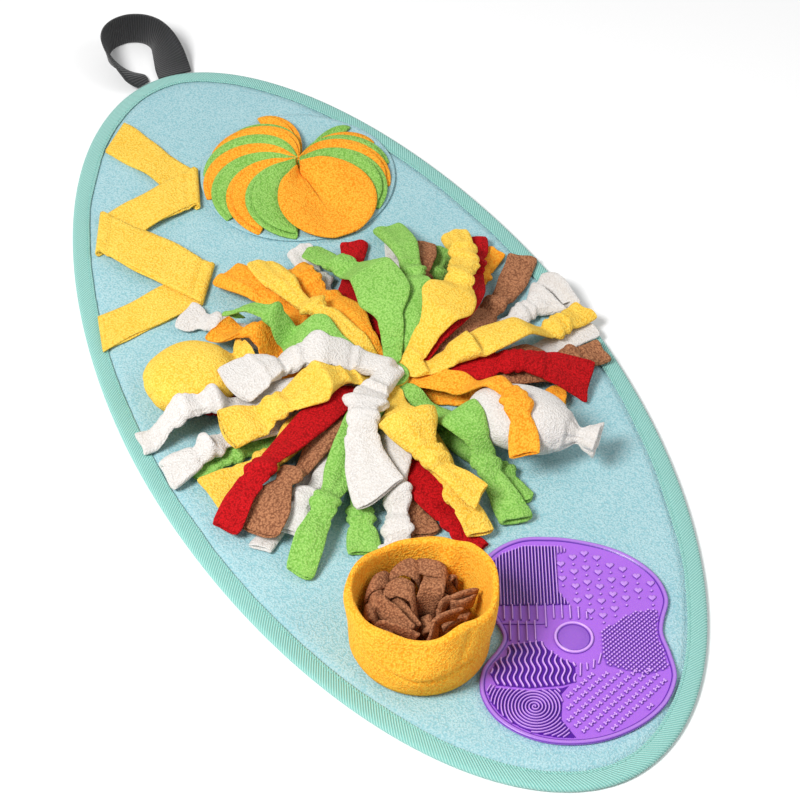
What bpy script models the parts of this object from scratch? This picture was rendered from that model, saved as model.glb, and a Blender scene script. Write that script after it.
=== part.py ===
"""A snuffle mat for dogs: an oval fleece mat with a tape-bound edge, and hiding places sewn on it.

Row frame: the mat lies on z = 0, its long axis is +X (towards the end with the lick pad), and the
origin is under the middle of the panel. Sizes are millimetres, turned into metres where a mesh is made.
"""

import math
from collections import namedtuple

import bmesh
import bpy
import numpy as np
from mathutils import Vector

MM = 0.001
GAP = 0.3  # between pieces that touch

# The mat: a slightly egg-shaped oval, wider towards +X.
HALF_LENGTH = 352.0
HALF_WIDTH = 163.0
OVAL_POWER = 1.93  # 2 would be an ellipse
EGG = 0.034
OUTLINE_STEPS = 88

# The panel is thinner under the binding, which wraps round its edge.
PANEL_THICK = 4.0
TAPE_THICK = 1.0
TAPE_LIP = 12.0
BINDING_TOP = 4.2

# The flower.
FLOWER_AT = (-201.0, 43.0)
FLOWER_BASE_RADIUS = 70.0
FLOWER_BASE_THICK = 2.0
PETAL_STEP = 22.0  # degrees from one petal to the next
PETAL_COLUMN = PETAL_STEP / 3.0
PETAL_LAYER = 1.2
PETAL_LAYER_GAP = 0.6
PETAL_PITCH = 3.9  # height from one petal to the next where they overlap
PETAL_INNER = 4.0

# The basket.
BASKET_AT = (218.0, -62.0)
BASKET_RADIUS = 41.5
BASKET_HEIGHT = 51.0
BASKET_WALL = 6.5
BASKET_FLOOR = 3.0
BASKET_STEPS = 32

# The lick pad.
PAD_AT = (251.0, 24.0)
PAD_TURN = -25.5  # degrees, the direction of its long axis
PAD_THICK = 1.6
PAD_RIM_WIDTH = 3.0
PAD_RIM_HEIGHT = 2.6
RIB_HEIGHT = 1.3

# The pile of knotted strips in the middle.
HUB_AT = (25.0, 11.0)
HUB_RADIUS = 11.0
HUB_THICK = 1.0
HUB_PITCH = 1.5
FLAT_RADIUS = 20.0  # out to here every strip lies flat in its own layer
ROOT_WIDTH = 5.0

COLOURS = {
    "panel_blue": ((0.40, 0.69, 0.74), 0.95),
    "tape_mint": ((0.31, 0.61, 0.56), 0.85),
    "webbing_black": ((0.012, 0.012, 0.014), 0.70),
    "fleece_yellow": ((0.93, 0.66, 0.09), 0.95),
    "fleece_orange": ((0.95, 0.47, 0.04), 0.95),
    "fleece_green": ((0.20, 0.56, 0.11), 0.95),
    "fleece_red": ((0.56, 0.010, 0.016), 0.95),
    "fleece_white": ((0.83, 0.79, 0.76), 0.95),
    "fleece_brown": ((0.36, 0.17, 0.095), 0.95),
    "pad_purple": ((0.34, 0.12, 0.72), 0.45),
}


# ---------------------------------------------------------------- scene and mesh helpers


def clear_scene():
    for obj in list(bpy.data.objects):
        bpy.data.objects.remove(obj)


def collection(name):
    group = bpy.data.collections.new(name)
    bpy.context.scene.collection.children.link(group)
    return group


def make_materials():
    made = {}
    for name, (colour, roughness) in COLOURS.items():
        material = bpy.data.materials.new(name)
        material.use_nodes = True
        shader = material.node_tree.nodes["Principled BSDF"]
        shader.inputs["Base Color"].default_value = (*colour, 1.0)
        shader.inputs["Roughness"].default_value = roughness
        shader.inputs["Metallic"].default_value = 0.0
        material.diffuse_color = (*colour, 1.0)
        made[name] = material
    return made


def add_object(name, bm, material, group):
    """One named object from a bmesh in millimetres, shaded smooth up to 40 degrees."""
    bmesh.ops.scale(bm, vec=(MM, MM, MM), verts=bm.verts)
    bmesh.ops.recalc_face_normals(bm, faces=bm.faces)
    mesh = bpy.data.meshes.new(name)
    bm.to_mesh(mesh)
    bm.free()
    mesh.shade_smooth()
    mesh.set_sharp_from_angle(angle=math.radians(40))
    mesh.materials.append(material)
    obj = bpy.data.objects.new(name, mesh)
    group.objects.link(obj)
    return obj


def ring_verts(bm, points):
    return [bm.verts.new(point) for point in points]


def bridge(bm, ring_a, ring_b):
    """The faces between two closed rings of the same number of points."""
    count = len(ring_a)
    for i in range(count):
        j = (i + 1) % count
        bm.faces.new((ring_a[i], ring_a[j], ring_b[j], ring_b[i]))


def loft(bm, rings):
    """A closed body through the rings, with a flat face on each end."""
    made = [ring_verts(bm, ring) for ring in rings]
    for ring_a, ring_b in zip(made, made[1:]):
        bridge(bm, ring_a, ring_b)
    bm.faces.new(list(reversed(made[0])))
    bm.faces.new(made[-1])
    return made


# The triangles between two sections of a thin strip: (section, corner) three times. Its two broad
# faces are cut along the same diagonal, so that a twisted strip never cuts itself.
STRIP_TRIANGLES = [
    ((0, 0), (0, 1), (1, 1)),
    ((0, 0), (1, 1), (1, 0)),
    ((0, 1), (0, 2), (1, 2)),
    ((0, 1), (1, 2), (1, 1)),
    ((0, 3), (1, 2), (0, 2)),
    ((0, 3), (1, 3), (1, 2)),
    ((0, 0), (1, 0), (1, 3)),
    ((0, 0), (1, 3), (0, 3)),
]


def strip_faces(bm, made):
    """The sides of a strip through its sections, as lists of three corners."""
    triangles = []
    for pair in zip(made, made[1:]):
        for corners in STRIP_TRIANGLES:
            verts = [pair[ring][corner] for ring, corner in corners]
            bm.faces.new(verts)
            triangles.append(verts)
    return triangles


def strip_loft(bm, rings):
    """A thin closed strip through sections of four corners."""
    made = [ring_verts(bm, ring) for ring in rings]
    strip_faces(bm, made)
    bm.faces.new(list(reversed(made[0])))
    bm.faces.new(made[-1])


def loop_loft(bm, rings):
    """A closed band: the last ring joins the first."""
    made = [ring_verts(bm, ring) for ring in rings]
    for index, ring_a in enumerate(made):
        bridge(bm, ring_a, made[(index + 1) % len(made)])
    return made


def smooth_step(t):
    t = min(max(t, 0.0), 1.0)
    return t * t * (3.0 - 2.0 * t)


# ---------------------------------------------------------------- the mat


def outline_point(step, inset, steps=OUTLINE_STEPS):
    """A point of the mat's outline, moved inwards by inset."""
    turn = 2.0 * math.pi * step / steps

    def on_outline(angle):
        c, s = math.cos(angle), math.sin(angle)
        x = HALF_LENGTH * math.copysign(abs(c) ** (2.0 / OVAL_POWER), c)
        width = HALF_WIDTH * (1.0 + EGG * x / HALF_LENGTH)
        return Vector((x, width * math.copysign(abs(s) ** (2.0 / OVAL_POWER), s)))

    here = on_outline(turn)
    along = on_outline(turn + 0.01) - on_outline(turn - 0.01)
    inwards = Vector((-along.y, along.x)).normalized()
    return here + inwards * inset


def outline_ring(inset, z):
    return [(*outline_point(i, inset), z) for i in range(OUTLINE_STEPS)]


def build_panel(materials, group):
    """The fleece panel, full thickness inside and pressed thin under the binding."""
    edge_low = TAPE_THICK + GAP
    edge_high = BINDING_TOP - TAPE_THICK - GAP
    edge_inset = 1.6 + GAP
    lip_end = TAPE_LIP + GAP
    bm = bmesh.new()
    loft(
        bm,
        [
            outline_ring(lip_end, 0.0),
            outline_ring(lip_end, edge_low),
            outline_ring(edge_inset, edge_low),
            outline_ring(edge_inset, edge_high),
            outline_ring(lip_end, edge_high),
            outline_ring(lip_end + 1.5, PANEL_THICK),
        ],
    )
    return add_object("mat_panel", bm, materials["panel_blue"], group)


def build_binding(materials, group):
    """The twill tape, folded over the edge: (inset, height) round its section."""
    section = [
        (0.0, 1.2),
        (0.8, 0.0),
        (TAPE_LIP, 0.0),
        (TAPE_LIP, TAPE_THICK),
        (1.6, TAPE_THICK),
        (1.6, BINDING_TOP - TAPE_THICK),
        (TAPE_LIP, BINDING_TOP - TAPE_THICK),
        (TAPE_LIP, BINDING_TOP),
        (0.8, BINDING_TOP),
        (0.0, BINDING_TOP - 1.2),
    ]
    bm = bmesh.new()
    rings = []
    for step in range(OUTLINE_STEPS):
        rings.append([(*outline_point(step, inset), z) for inset, z in section])
    loop_loft(bm, rings)
    return add_object("edge_binding", bm, materials["tape_mint"], group)


# The strap's loop: where its middle line runs, and how far it is turned up on edge.
StrapPoint = namedtuple("StrapPoint", "x y tilt")
STRAP_WIDTH = 25.0
STRAP_THICK = 1.6
STRAP_ROUTE = [
    StrapPoint(-350.5, -19.5, 14),
    StrapPoint(-357, -24, 26),
    StrapPoint(-367, -30, 48),
    StrapPoint(-379, -34, 68),
    StrapPoint(-391, -34, 80),
    StrapPoint(-401, -29, 86),
    StrapPoint(-407, -20, 88),
    StrapPoint(-408, -9, 88),
    StrapPoint(-403, 1, 84),
    StrapPoint(-394, 7, 72),
    StrapPoint(-383, 9, 50),
    StrapPoint(-371, 9, 28),
    StrapPoint(-361, 8, 12),
    StrapPoint(-352.6, 7, 4),
]


def build_strap(materials, group):
    """The webbing loop at the far end: flat where it is sewn in, and turned up on edge round its bend."""
    bm = bmesh.new()
    rings = []
    last = len(STRAP_ROUTE) - 1
    for index, point in enumerate(STRAP_ROUTE):
        before = STRAP_ROUTE[max(index - 1, 0)]
        after = STRAP_ROUTE[min(index + 1, last)]
        along = Vector((after.x - before.x, after.y - before.y, 0.0)).normalized()
        outwards = Vector((along.y, -along.x, 0.0))
        if outwards.dot(Vector((point.x + 380.0, point.y + 12.0, 0.0))) < 0.0:
            outwards = -outwards
        tilt = math.radians(point.tilt)
        across = outwards * math.cos(tilt) + Vector((0, 0, 1)) * math.sin(tilt)
        normal = Vector((0, 0, 1)) * math.cos(tilt) - outwards * math.sin(tilt)
        width = STRAP_WIDTH
        if index in (0, last):
            width = 14.0 if index == 0 else STRAP_WIDTH - 1.0
        half = across * width * 0.5
        side = normal * STRAP_THICK * 0.5
        low = half.z + abs(side.z) + 0.4
        middle = Vector((point.x, point.y, low))
        rings.append(
            [middle - half - side, middle + half - side, middle + half + side, middle - half + side]
        )
    strip_loft(bm, rings)
    return add_object("anchor_strap", bm, materials["webbing_black"], group)


# ---------------------------------------------------------------- the zigzag strip

ZIGZAG_THICK = 2.4
ZIGZAG_LOW = PANEL_THICK + GAP
ZIGZAG_HIGH = ZIGZAG_LOW + ZIGZAG_THICK + 1.2

# The cross edges of the strip, from one free end over three folds to the other free end.
CrossEdge = namedtuple("CrossEdge", "left right")
ZIGZAG_EDGES = [
    CrossEdge((-309, -50), (-285, -73)),
    CrossEdge((-236, -24), (-199, -37)),
    CrossEdge((-217, -99), (-180, -116)),
    CrossEdge((-137, -51), (-104, -73)),
    CrossEdge((-121, -139), (-89, -147)),
]
# The height of the strip's underside at the start and end of each run, and how far it arches up.
Run = namedtuple("Run", "start end arch")
ZIGZAG_RUNS = [
    Run(ZIGZAG_LOW, ZIGZAG_LOW, 1.2),
    Run(ZIGZAG_HIGH, ZIGZAG_LOW, 0.6),
    Run(ZIGZAG_HIGH, ZIGZAG_HIGH, 0.9),
    Run(ZIGZAG_LOW, ZIGZAG_LOW, 0.4),
]


def build_zigzag(materials, group):
    """One long strip folded back and forth: each run leaves its fold above or below the last."""
    bm = bmesh.new()
    rings = []
    half = ZIGZAG_THICK * 0.5
    run_cuts = (0.0, 0.3, 0.45, 0.6, 0.75, 0.9, 1.0)
    for index, run in enumerate(ZIGZAG_RUNS):
        start, end = ZIGZAG_EDGES[index], ZIGZAG_EDGES[index + 1]
        facing = 1.0 if index % 2 == 0 else -1.0
        for cut in run_cuts:
            left = Vector(start.left).lerp(Vector(end.left), cut)
            right = Vector(start.right).lerp(Vector(end.right), cut)
            low = run.start + (run.end - run.start) * smooth_step((cut - 0.3) / 0.4)
            arch = run.arch * math.sin(math.pi * smooth_step((cut - 0.15) / 0.7)) ** 2
            middle = low + arch + half
            normal = Vector((0, 0, facing * half))
            rings.append(section_across(left, right, middle, normal))
        if index < len(ZIGZAG_RUNS) - 1:
            after = ZIGZAG_RUNS[index + 1]
            fold = ZIGZAG_EDGES[index + 1]
            here = (Vector(fold.left) + Vector(fold.right)) * 0.5
            came = (Vector(start.left) + Vector(start.right)) * 0.5
            goes = ZIGZAG_EDGES[index + 2]
            goes = (Vector(goes.left) + Vector(goes.right)) * 0.5
            outwards = ((here - came).normalized() + (here - goes).normalized()).normalized()
            middle = (run.end + after.start) * 0.5 + half
            offset = outwards * (half + 0.3)
            rise = 1.0 if after.start > run.end else -1.0
            normal = Vector((-outwards.x, -outwards.y, 0.0)) * half * facing * rise
            rings.append(
                section_across(
                    Vector(fold.left) + offset, Vector(fold.right) + offset, middle, normal
                )
            )
    strip_loft(bm, rings)
    return add_object("zigzag_strip", bm, materials["fleece_yellow"], group)


def section_across(left, right, middle, normal):
    """The four corners of a flat strip's section between two edge points."""
    left = Vector((left.x, left.y, middle))
    right = Vector((right.x, right.y, middle))
    return [left - normal, right - normal, right + normal, left + normal]


# ---------------------------------------------------------------- the flower

# One row for each petal, in the order they are laid: the direction of its fold in degrees, the side
# that its round edge lies on, how many columns wide it is, and how long it is. The two fans meet at
# the parting, where the petals are narrow and stand up against each other.
Petal = namedtuple("Petal", "name fold side columns length")
PETALS = [
    Petal("petal_01_green", 121, 1, 3, 66),
    Petal("petal_02_orange", 181, -1, 5, 71),
    Petal("petal_03_orange", 99, 1, 6, 66),
    Petal("petal_04_green", 203, -1, 8, 66),
    Petal("petal_05_green", 77, 1, 9, 67),
    Petal("petal_06_orange", 225, -1, 11, 67),
    Petal("petal_07_orange", 55, 1, 11, 67),
    Petal("petal_08_green", 247, -1, 11, 68),
    Petal("petal_09_green", 33, 1, 11, 69),
    Petal("petal_10_orange", 269, -1, 11, 70),
    Petal("petal_11_green", 291, -1, 11, 71),
    Petal("petal_12_orange", 313, -1, 11, 71),
    Petal("petal_13_green", 335, -1, 11, 70),
]
FOLD_WALL = 2.2  # degrees of solid cloth at a petal's fold
# The open petal on top: its valley, and how far it spreads to each side.
VALLEY = (-3, 11)
TOP_PETAL_COLUMNS = (7, 9)
TOP_PETAL_LENGTH = 75.0
TOP_PETAL_THICK = 2.2


def flower_low():
    return PANEL_THICK + GAP + FLOWER_BASE_THICK + GAP


def build_flower_base(materials, group):
    """The round fleece patch that the petals are sewn to."""
    bm = bmesh.new()
    steps = 48
    rings = []
    for inset, z in ((0.6, 0.0), (0.0, 0.7), (0.0, 1.4), (0.6, FLOWER_BASE_THICK)):
        radius = FLOWER_BASE_RADIUS - inset
        rings.append(
            [
                (
                    FLOWER_AT[0] + radius * math.cos(2 * math.pi * i / steps),
                    FLOWER_AT[1] + radius * math.sin(2 * math.pi * i / steps),
                    PANEL_THICK + GAP + z,
                )
                for i in range(steps)
            ]
        )
    loft(bm, rings)
    return add_object("flower_base", bm, materials["panel_blue"], group)


def petal_radius(away, reach, length):
    """How far the round edge is from the centre, at an angle away from the fold."""
    share = min(abs(away) / reach, 1.0)
    return max(length * math.cos(0.5 * math.pi * share) ** 0.85, PETAL_INNER + 1.5)


def flower_point(angle, radius, z):
    turn = math.radians(angle)
    return (
        FLOWER_AT[0] + radius * math.cos(turn),
        FLOWER_AT[1] + radius * math.sin(turn),
        z,
    )


def petal_column(bm, angle, radius, z, heights):
    """The points of a petal at one direction: pairs of (inner, outer) for each height."""
    return [
        (
            bm.verts.new(flower_point(angle, PETAL_INNER, z + height)),
            bm.verts.new(flower_point(angle, radius, z + height)),
        )
        for height in heights
    ]


def petal_surface(bm, columns, level):
    """A ruled surface over the columns. The diagonal runs so that petals never cut each other."""
    for here, after in zip(columns, columns[1:]):
        (in_a, out_a), (in_b, out_b) = here[level], after[level]
        bm.faces.new((in_a, out_a, in_b))
        bm.faces.new((out_a, out_b, in_b))


def petal_rims(bm, columns, low, high):
    """The cut edges between two levels, at the centre and along the round edge."""
    for here, after in zip(columns, columns[1:]):
        for side in (0, 1):
            bm.faces.new(
                (here[low][side], after[low][side], after[high][side], here[high][side])
            )


def build_petal(petal, materials, group):
    """A circle of fleece folded in half: two layers that fan up over the petal laid before."""
    reach = petal.columns * PETAL_COLUMN
    rise = PETAL_PITCH / PETAL_STEP
    heights = (0.0, PETAL_LAYER, PETAL_LAYER + PETAL_LAYER_GAP, 2 * PETAL_LAYER + PETAL_LAYER_GAP)
    bm = bmesh.new()

    def column(away, levels):
        radius = petal_radius(away, reach, petal.length)
        angle = petal.fold + petal.side * away
        return petal_column(bm, angle, radius, flower_low() + rise * away, levels)

    (low_a, high_a) = column(0.0, (heights[0], heights[3]))
    (low_b, high_b) = column(FOLD_WALL, (heights[1], heights[2]))
    rest = [column(PETAL_COLUMN * i, heights) for i in range(1, petal.columns + 1)]
    petal_surface(bm, [[low_a]] + [[points[0]] for points in rest], 0)
    petal_surface(bm, [[high_a]] + [[points[3]] for points in rest], 0)
    petal_surface(bm, [[low_b]] + [[points[1]] for points in rest], 0)
    petal_surface(bm, [[high_b]] + [[points[2]] for points in rest], 0)
    petal_rims(bm, rest, 0, 1)
    petal_rims(bm, rest, 2, 3)
    first, last = rest[0], rest[-1]
    for low, high in ((0, 1), (2, 3)):
        bm.faces.new((last[low][0], last[low][1], last[high][1], last[high][0]))
    # The fold: solid out to its inner wall, where the slot between the layers starts.
    bm.faces.new((low_a[0], low_a[1], high_a[1], high_a[0]))
    bm.faces.new((low_b[0], low_b[1], high_b[1], high_b[0]))
    for side in (0, 1):
        bm.faces.new((low_a[side], first[0][side], first[1][side], low_b[side]))
        bm.faces.new((low_a[side], low_b[side], high_b[side], high_a[side]))
        bm.faces.new((high_a[side], high_b[side], first[2][side], first[3][side]))
    colour = "fleece_green" if "green" in petal.name else "fleece_orange"
    return add_object(petal.name, bm, materials[colour], group)


def build_top_petal(materials, group):
    """The last petal lies open over both fans, with a valley along its middle."""
    rise = PETAL_PITCH / PETAL_STEP
    heights = (0.0, TOP_PETAL_THICK)
    low = flower_low() + GAP
    middle = (VALLEY[0] + VALLEY[1]) * 0.5
    bm = bmesh.new()
    centre = petal_column(bm, middle, TOP_PETAL_LENGTH, low, heights)
    for edge, side, count in zip(VALLEY, (-1, 1), TOP_PETAL_COLUMNS):
        wing = [centre]
        for i in range(count + 1):
            away = PETAL_COLUMN * i
            radius = petal_radius(away + PETAL_COLUMN, (count + 2) * PETAL_COLUMN, TOP_PETAL_LENGTH)
            wing.append(petal_column(bm, edge + side * away, radius, low + rise * away, heights))
        for level in (0, 1):
            petal_surface(bm, wing, level)
        petal_rims(bm, wing, 0, 1)
        end = wing[-1]
        bm.faces.new((end[0][0], end[0][1], end[1][1], end[1][0]))
    return add_object("petal_14_orange", bm, materials["fleece_orange"], group)


def build_flower(materials, group):
    made = [build_flower_base(materials, group)]
    made += [build_petal(petal, materials, group) for petal in PETALS]
    made.append(build_top_petal(materials, group))
    return made


# ---------------------------------------------------------------- the lick pad

# The pad's outline: direction from its ring, in degrees from its long axis, and distance.
OutlineRow = namedtuple("OutlineRow", "turn radius")
PAD_OUTLINE = [
    OutlineRow(0, 79),
    OutlineRow(20, 75.5),
    OutlineRow(45, 71),
    OutlineRow(62, 65.5),
    OutlineRow(75, 58),
    OutlineRow(90, 52.5),
    OutlineRow(102, 55),
    OutlineRow(115, 63.5),
    OutlineRow(130, 68.5),
    OutlineRow(150, 71),
    OutlineRow(172, 72.5),
    OutlineRow(190, 76),
    OutlineRow(203, 79.5),
    OutlineRow(218, 78.5),
    OutlineRow(232, 73),
    OutlineRow(245, 61),
    OutlineRow(256, 50),
    OutlineRow(266, 44.5),
    OutlineRow(276, 43.2),
    OutlineRow(286, 49),
    OutlineRow(296, 62),
    OutlineRow(308, 72.5),
    OutlineRow(322, 79),
    OutlineRow(340, 81),
]
PAD_STEPS = 72


def pad_radius(turn):
    """The pad's outline as a smooth closed curve through its rows (Catmull-Rom in the turn)."""
    turn %= 360.0
    count = len(PAD_OUTLINE)
    for i in range(count):
        start = PAD_OUTLINE[i].turn
        end = PAD_OUTLINE[(i + 1) % count].turn + (360 if i == count - 1 else 0)
        if start <= turn < end:
            break
    rows = [PAD_OUTLINE[(i + k) % count].radius for k in (-1, 0, 1, 2)]
    t = (turn - start) / (end - start)
    a, b, c, d = rows
    return 0.5 * (
        2 * b + (c - a) * t + (2 * a - 5 * b + 4 * c - d) * t**2 + (3 * b - 3 * c + d - a) * t**3
    )


def pad_ring(inset, z):
    """The outline moved inwards, at a height above the panel."""
    points = []
    for step in range(PAD_STEPS):
        turn = 360.0 * step / PAD_STEPS

        def outline(angle):
            radius = pad_radius(angle)
            way = math.radians(angle + PAD_TURN)
            return Vector((radius * math.cos(way), radius * math.sin(way)))

        here = outline(turn)
        along = outline(turn + 2.0) - outline(turn - 2.0)
        inwards = Vector((-along.y, along.x)).normalized()
        point = here + inwards * inset
        points.append((PAD_AT[0] + point.x, PAD_AT[1] + point.y, PANEL_THICK + GAP + z))
    return points


def inside_pad(x, y, margin):
    """Whether a point, from the pad's ring, is inside its outline by a margin."""
    turn = math.degrees(math.atan2(y, x)) - PAD_TURN
    return math.hypot(x, y) < pad_radius(turn) - margin


def add_ridge(bm, points, width, low, high):
    """A raised rib along a line of points on the pad, with a narrower top."""
    rings = []
    for index, point in enumerate(points):
        before = Vector(points[max(index - 1, 0)])
        after = Vector(points[min(index + 1, len(points) - 1)])
        along = (after - before).normalized()
        across = Vector((-along.y, along.x))
        place = Vector(point) + Vector(PAD_AT)
        foot, crest = across * width * 0.5, across * width * 0.22
        rings.append(
            [
                (*(place - foot), low),
                (*(place + foot), low),
                (*(place + crest), high),
                (*(place - crest), high),
            ]
        )
    loft(bm, rings)


def add_closed_ridge(bm, centre, radius, width, low, high, steps):
    """A raised ring on the pad."""
    rings = []
    for step in range(steps):
        turn = 2 * math.pi * step / steps
        way = Vector((math.cos(turn), math.sin(turn)))
        place = Vector(PAD_AT) + Vector(centre)
        radii = (radius - width / 2, radius + width / 2, radius + width / 5, radius - width / 5)
        heights = (low, low, high, high)
        rings.append([(*(place + way * r), z) for r, z in zip(radii, heights)])
    loop_loft(bm, rings)


def clipped_runs(points, keep):
    """The stretches of a line of points that keep() lets stay."""
    runs, run = [], []
    for point in points:
        if keep(*point):
            run.append(point)
        elif run:
            runs.append(run)
            run = []
    if run:
        runs.append(run)
    return [run for run in runs if len(run) > 1]


# The pad's zones, as directions from its ring in degrees, counter-clockwise.
RIB_TURN = -21.0
RING_RADIUS = 11.2
SPIRAL_AT = (35.5, -46.0)
HEART_PITCH = 11.0


def direction_of(x, y):
    return math.degrees(math.atan2(y, x)) % 360.0


def add_straight_ribs(bm, low, high):
    """Fine ribs on the left, then two columns of wide ribs next to them."""
    along = Vector((math.cos(math.radians(RIB_TURN)), math.sin(math.radians(RIB_TURN))))
    across = Vector((-along.y, along.x))
    # columns: from, to (mm along the ribs), pitch, rib width, lowest and highest rib
    for start, end, pitch, width, first, last in (
        (-76.0, -38.0, 2.9, 1.5, -56.0, 10.0),
        (-35.5, -25.0, 5.4, 2.2, -46.0, 22.0),
        (-22.5, -12.5, 5.4, 2.2, -46.0, 22.0),
    ):
        count = int((last - first) / pitch)
        for i in range(count + 1):
            offset = first + pitch * i
            line = [tuple(along * (start + (end - start) * k / 12) + across * offset) for k in range(13)]

            def keep(x, y):
                return inside_pad(x, y, PAD_RIM_WIDTH + 2.4) and math.hypot(x, y) > RING_RADIUS + 3.5

            for run in clipped_runs(line, keep):
                add_ridge(bm, [run[0], run[-1]], width, low, high)


def add_wavy_ribs(bm, low, high):
    """Wavy ribs fan out below the ring."""
    for i in range(13):
        level = 10.0 - 4.4 * i
        line = []
        for k in range(15):
            x = -14.0 + 3.0 * k
            wave = 1.1 * math.sin(x * 0.75 + 0.4)
            line.append((x, level - 0.28 * (x + 12.0) + wave))

        def keep(x, y):
            right_edge = 26.0 + 0.42 * (y + 14.0)
            return (
                inside_pad(x, y, PAD_RIM_WIDTH + 1.4)
                and math.hypot(x, y) > RING_RADIUS + 3.5
                and -10.5 < x < right_edge
                and y < 0.9 * x - 6.0
            )

        for run in clipped_runs(line, keep):
            add_ridge(bm, run, 2.2, low, high)


def add_spiral(bm, low, high):
    """Close rings round a point near the pad's corner, cut off at the wavy ribs."""
    for i in range(8):
        radius = 4.0 + 3.6 * i
        steps = max(8, int(radius * 1.4))
        line = []
        for k in range(2 * steps + 1):
            turn = 2 * math.pi * k / steps / 2
            x = SPIRAL_AT[0] + radius * math.cos(turn)
            y = SPIRAL_AT[1] + radius * math.sin(turn)
            line.append((x, y))

        def keep(x, y):
            left_edge = 28.5 + 0.42 * (y + 14.0)
            return inside_pad(x, y, PAD_RIM_WIDTH + 1.4) and x > left_edge and y < -14.0 - 0.45 * (x - 27.0)

        runs = clipped_runs(line, keep)
        if len(runs) == 1 and len(runs[0]) == len(line):
            add_closed_ridge(bm, SPIRAL_AT, radius, 1.8, low, high, steps)
            continue
        for run in runs:
            add_ridge(bm, run[::2] if len(run) > 4 else run, 1.8, low, high)


def add_hearts(bm, low, high):
    """Rows of small raised hearts on the pad's upper left."""
    for row in range(6):
        for column in range(7):
            x = -60.0 + HEART_PITCH * column + (HEART_PITCH / 2 if row % 2 else 0.0) - 1.5 * row
            y = 14.0 + 8.6 * row - 0.20 * (x + 30.0)
            turn = direction_of(x, y)
            if not (inside_pad(x, y, PAD_RIM_WIDTH + 4.0) and 91.0 < turn < 166.0):
                continue
            if math.hypot(x, y) < RING_RADIUS + 7.0:
                continue
            shape = ((0.0, -3.0), (2.7, 0.4), (1.5, 2.6), (0.0, 1.6), (-1.5, 2.6), (-2.7, 0.4))
            rings = []
            for size, z in ((1.0, low), (0.6, high)):
                rings.append(
                    [(PAD_AT[0] + x + size * a, PAD_AT[1] + y + size * b, z) for a, b in shape]
                )
            loft(bm, rings)


def build_lick_pad(materials, group, cutters):
    """The silicone pad: a plate with a raised rim, a ring, and fields of ribs and hearts."""
    bm = bmesh.new()
    top = PAD_THICK
    loft(
        bm,
        [
            pad_ring(0.5, 0.0),
            pad_ring(0.0, 0.6),
            pad_ring(0.0, PAD_RIM_HEIGHT - 0.6),
            pad_ring(0.7, PAD_RIM_HEIGHT),
            pad_ring(PAD_RIM_WIDTH - 1.0, PAD_RIM_HEIGHT),
            pad_ring(PAD_RIM_WIDTH, top),
        ],
    )
    pad = add_object("lick_pad", bm, materials["pad_purple"], group)

    floor = PANEL_THICK + GAP
    low, high = floor + top - 0.5, floor + top + RIB_HEIGHT
    relief = bmesh.new()
    add_closed_ridge(relief, (0.0, 0.0), RING_RADIUS, 3.0, low, high + 0.3, 28)
    add_straight_ribs(relief, low, high)
    add_wavy_ribs(relief, low, high)
    add_spiral(relief, low, high - 0.2)
    add_hearts(relief, low, high + 0.2)
    tool = add_object("pad_relief", relief, materials["pad_purple"], cutters)
    union_with(pad, tool)
    return pad, tool


# ---------------------------------------------------------------- the basket


def basket_radius_factor(turn):
    """The basket is not quite round: its rim is pushed in a little at the front."""
    return 1.0 + 0.025 * math.cos(2 * turn + 0.6) + 0.015 * math.cos(3 * turn - 1.0)


def rim_height(turn):
    """The rim dips softly where the cloth sags."""
    front = math.radians(-27.0)
    side = math.radians(-120.0)

    def dip(centre, width):
        away = (turn - centre + math.pi) % (2 * math.pi) - math.pi
        return math.exp(-((away / width) ** 2))

    return BASKET_HEIGHT + 3.0 - 8.0 * dip(front, 0.5) - 4.0 * dip(side, 0.35)


def build_basket(materials, group):
    """A bucket of thick fleece with a rolled rim, sewn down on the panel."""
    floor = PANEL_THICK + GAP
    # (radius less the outer radius, share of the height, height above the floor)
    profile = [
        (-4.0, 0.0, 0.0),
        (-0.5, 0.0, 2.5),
        (1.2, 0.35, 0.0),
        (0.6, 0.75, 0.0),
        (-0.6, 0.95, 0.0),
        (-3.4, 1.0, 0.0),
        (-6.6, 0.93, 0.0),
        (-BASKET_WALL, 0.5, 0.0),
        (-BASKET_WALL - 1.0, 0.0, BASKET_FLOOR + 2.0),
        (-BASKET_WALL - 3.5, 0.0, BASKET_FLOOR),
    ]
    rings = []
    for offset, share, above in profile:
        ring = []
        for step in range(BASKET_STEPS):
            turn = 2 * math.pi * step / BASKET_STEPS
            factor = 1.0 + (basket_radius_factor(turn) - 1.0) * min(1.0, 0.3 + share)
            radius = (BASKET_RADIUS + offset) * factor
            z = floor + above + share * rim_height(turn)
            ring.append(
                (BASKET_AT[0] + radius * math.cos(turn), BASKET_AT[1] + radius * math.sin(turn), z)
            )
        rings.append(ring)
    bm = bmesh.new()
    loft(bm, rings)
    return add_object("basket", bm, materials["fleece_orange"], group)


# The brown strips in the basket: where each is rooted, which way it curls, and how tall it is.
Curl = namedtuple("Curl", "turn out lean height width")
CURLS = [
    Curl(10, 21, 95, 28, 12),
    Curl(55, 21, 150, 31, 12),
    Curl(100, 21, 185, 28, 12),
    Curl(145, 21, 240, 32, 12),
    Curl(190, 21, 275, 29, 12),
    Curl(235, 21, 325, 26, 12),
    Curl(280, 21, 0, 23, 12),
    Curl(325, 21, 55, 24, 12),
    Curl(30, 7, 120, 32, 10),
    Curl(150, 7, 240, 34, 10),
    Curl(270, 7, 0, 29, 10),
]
CURL_THICK = 2.4
PATCH_THICK = 1.2
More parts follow.
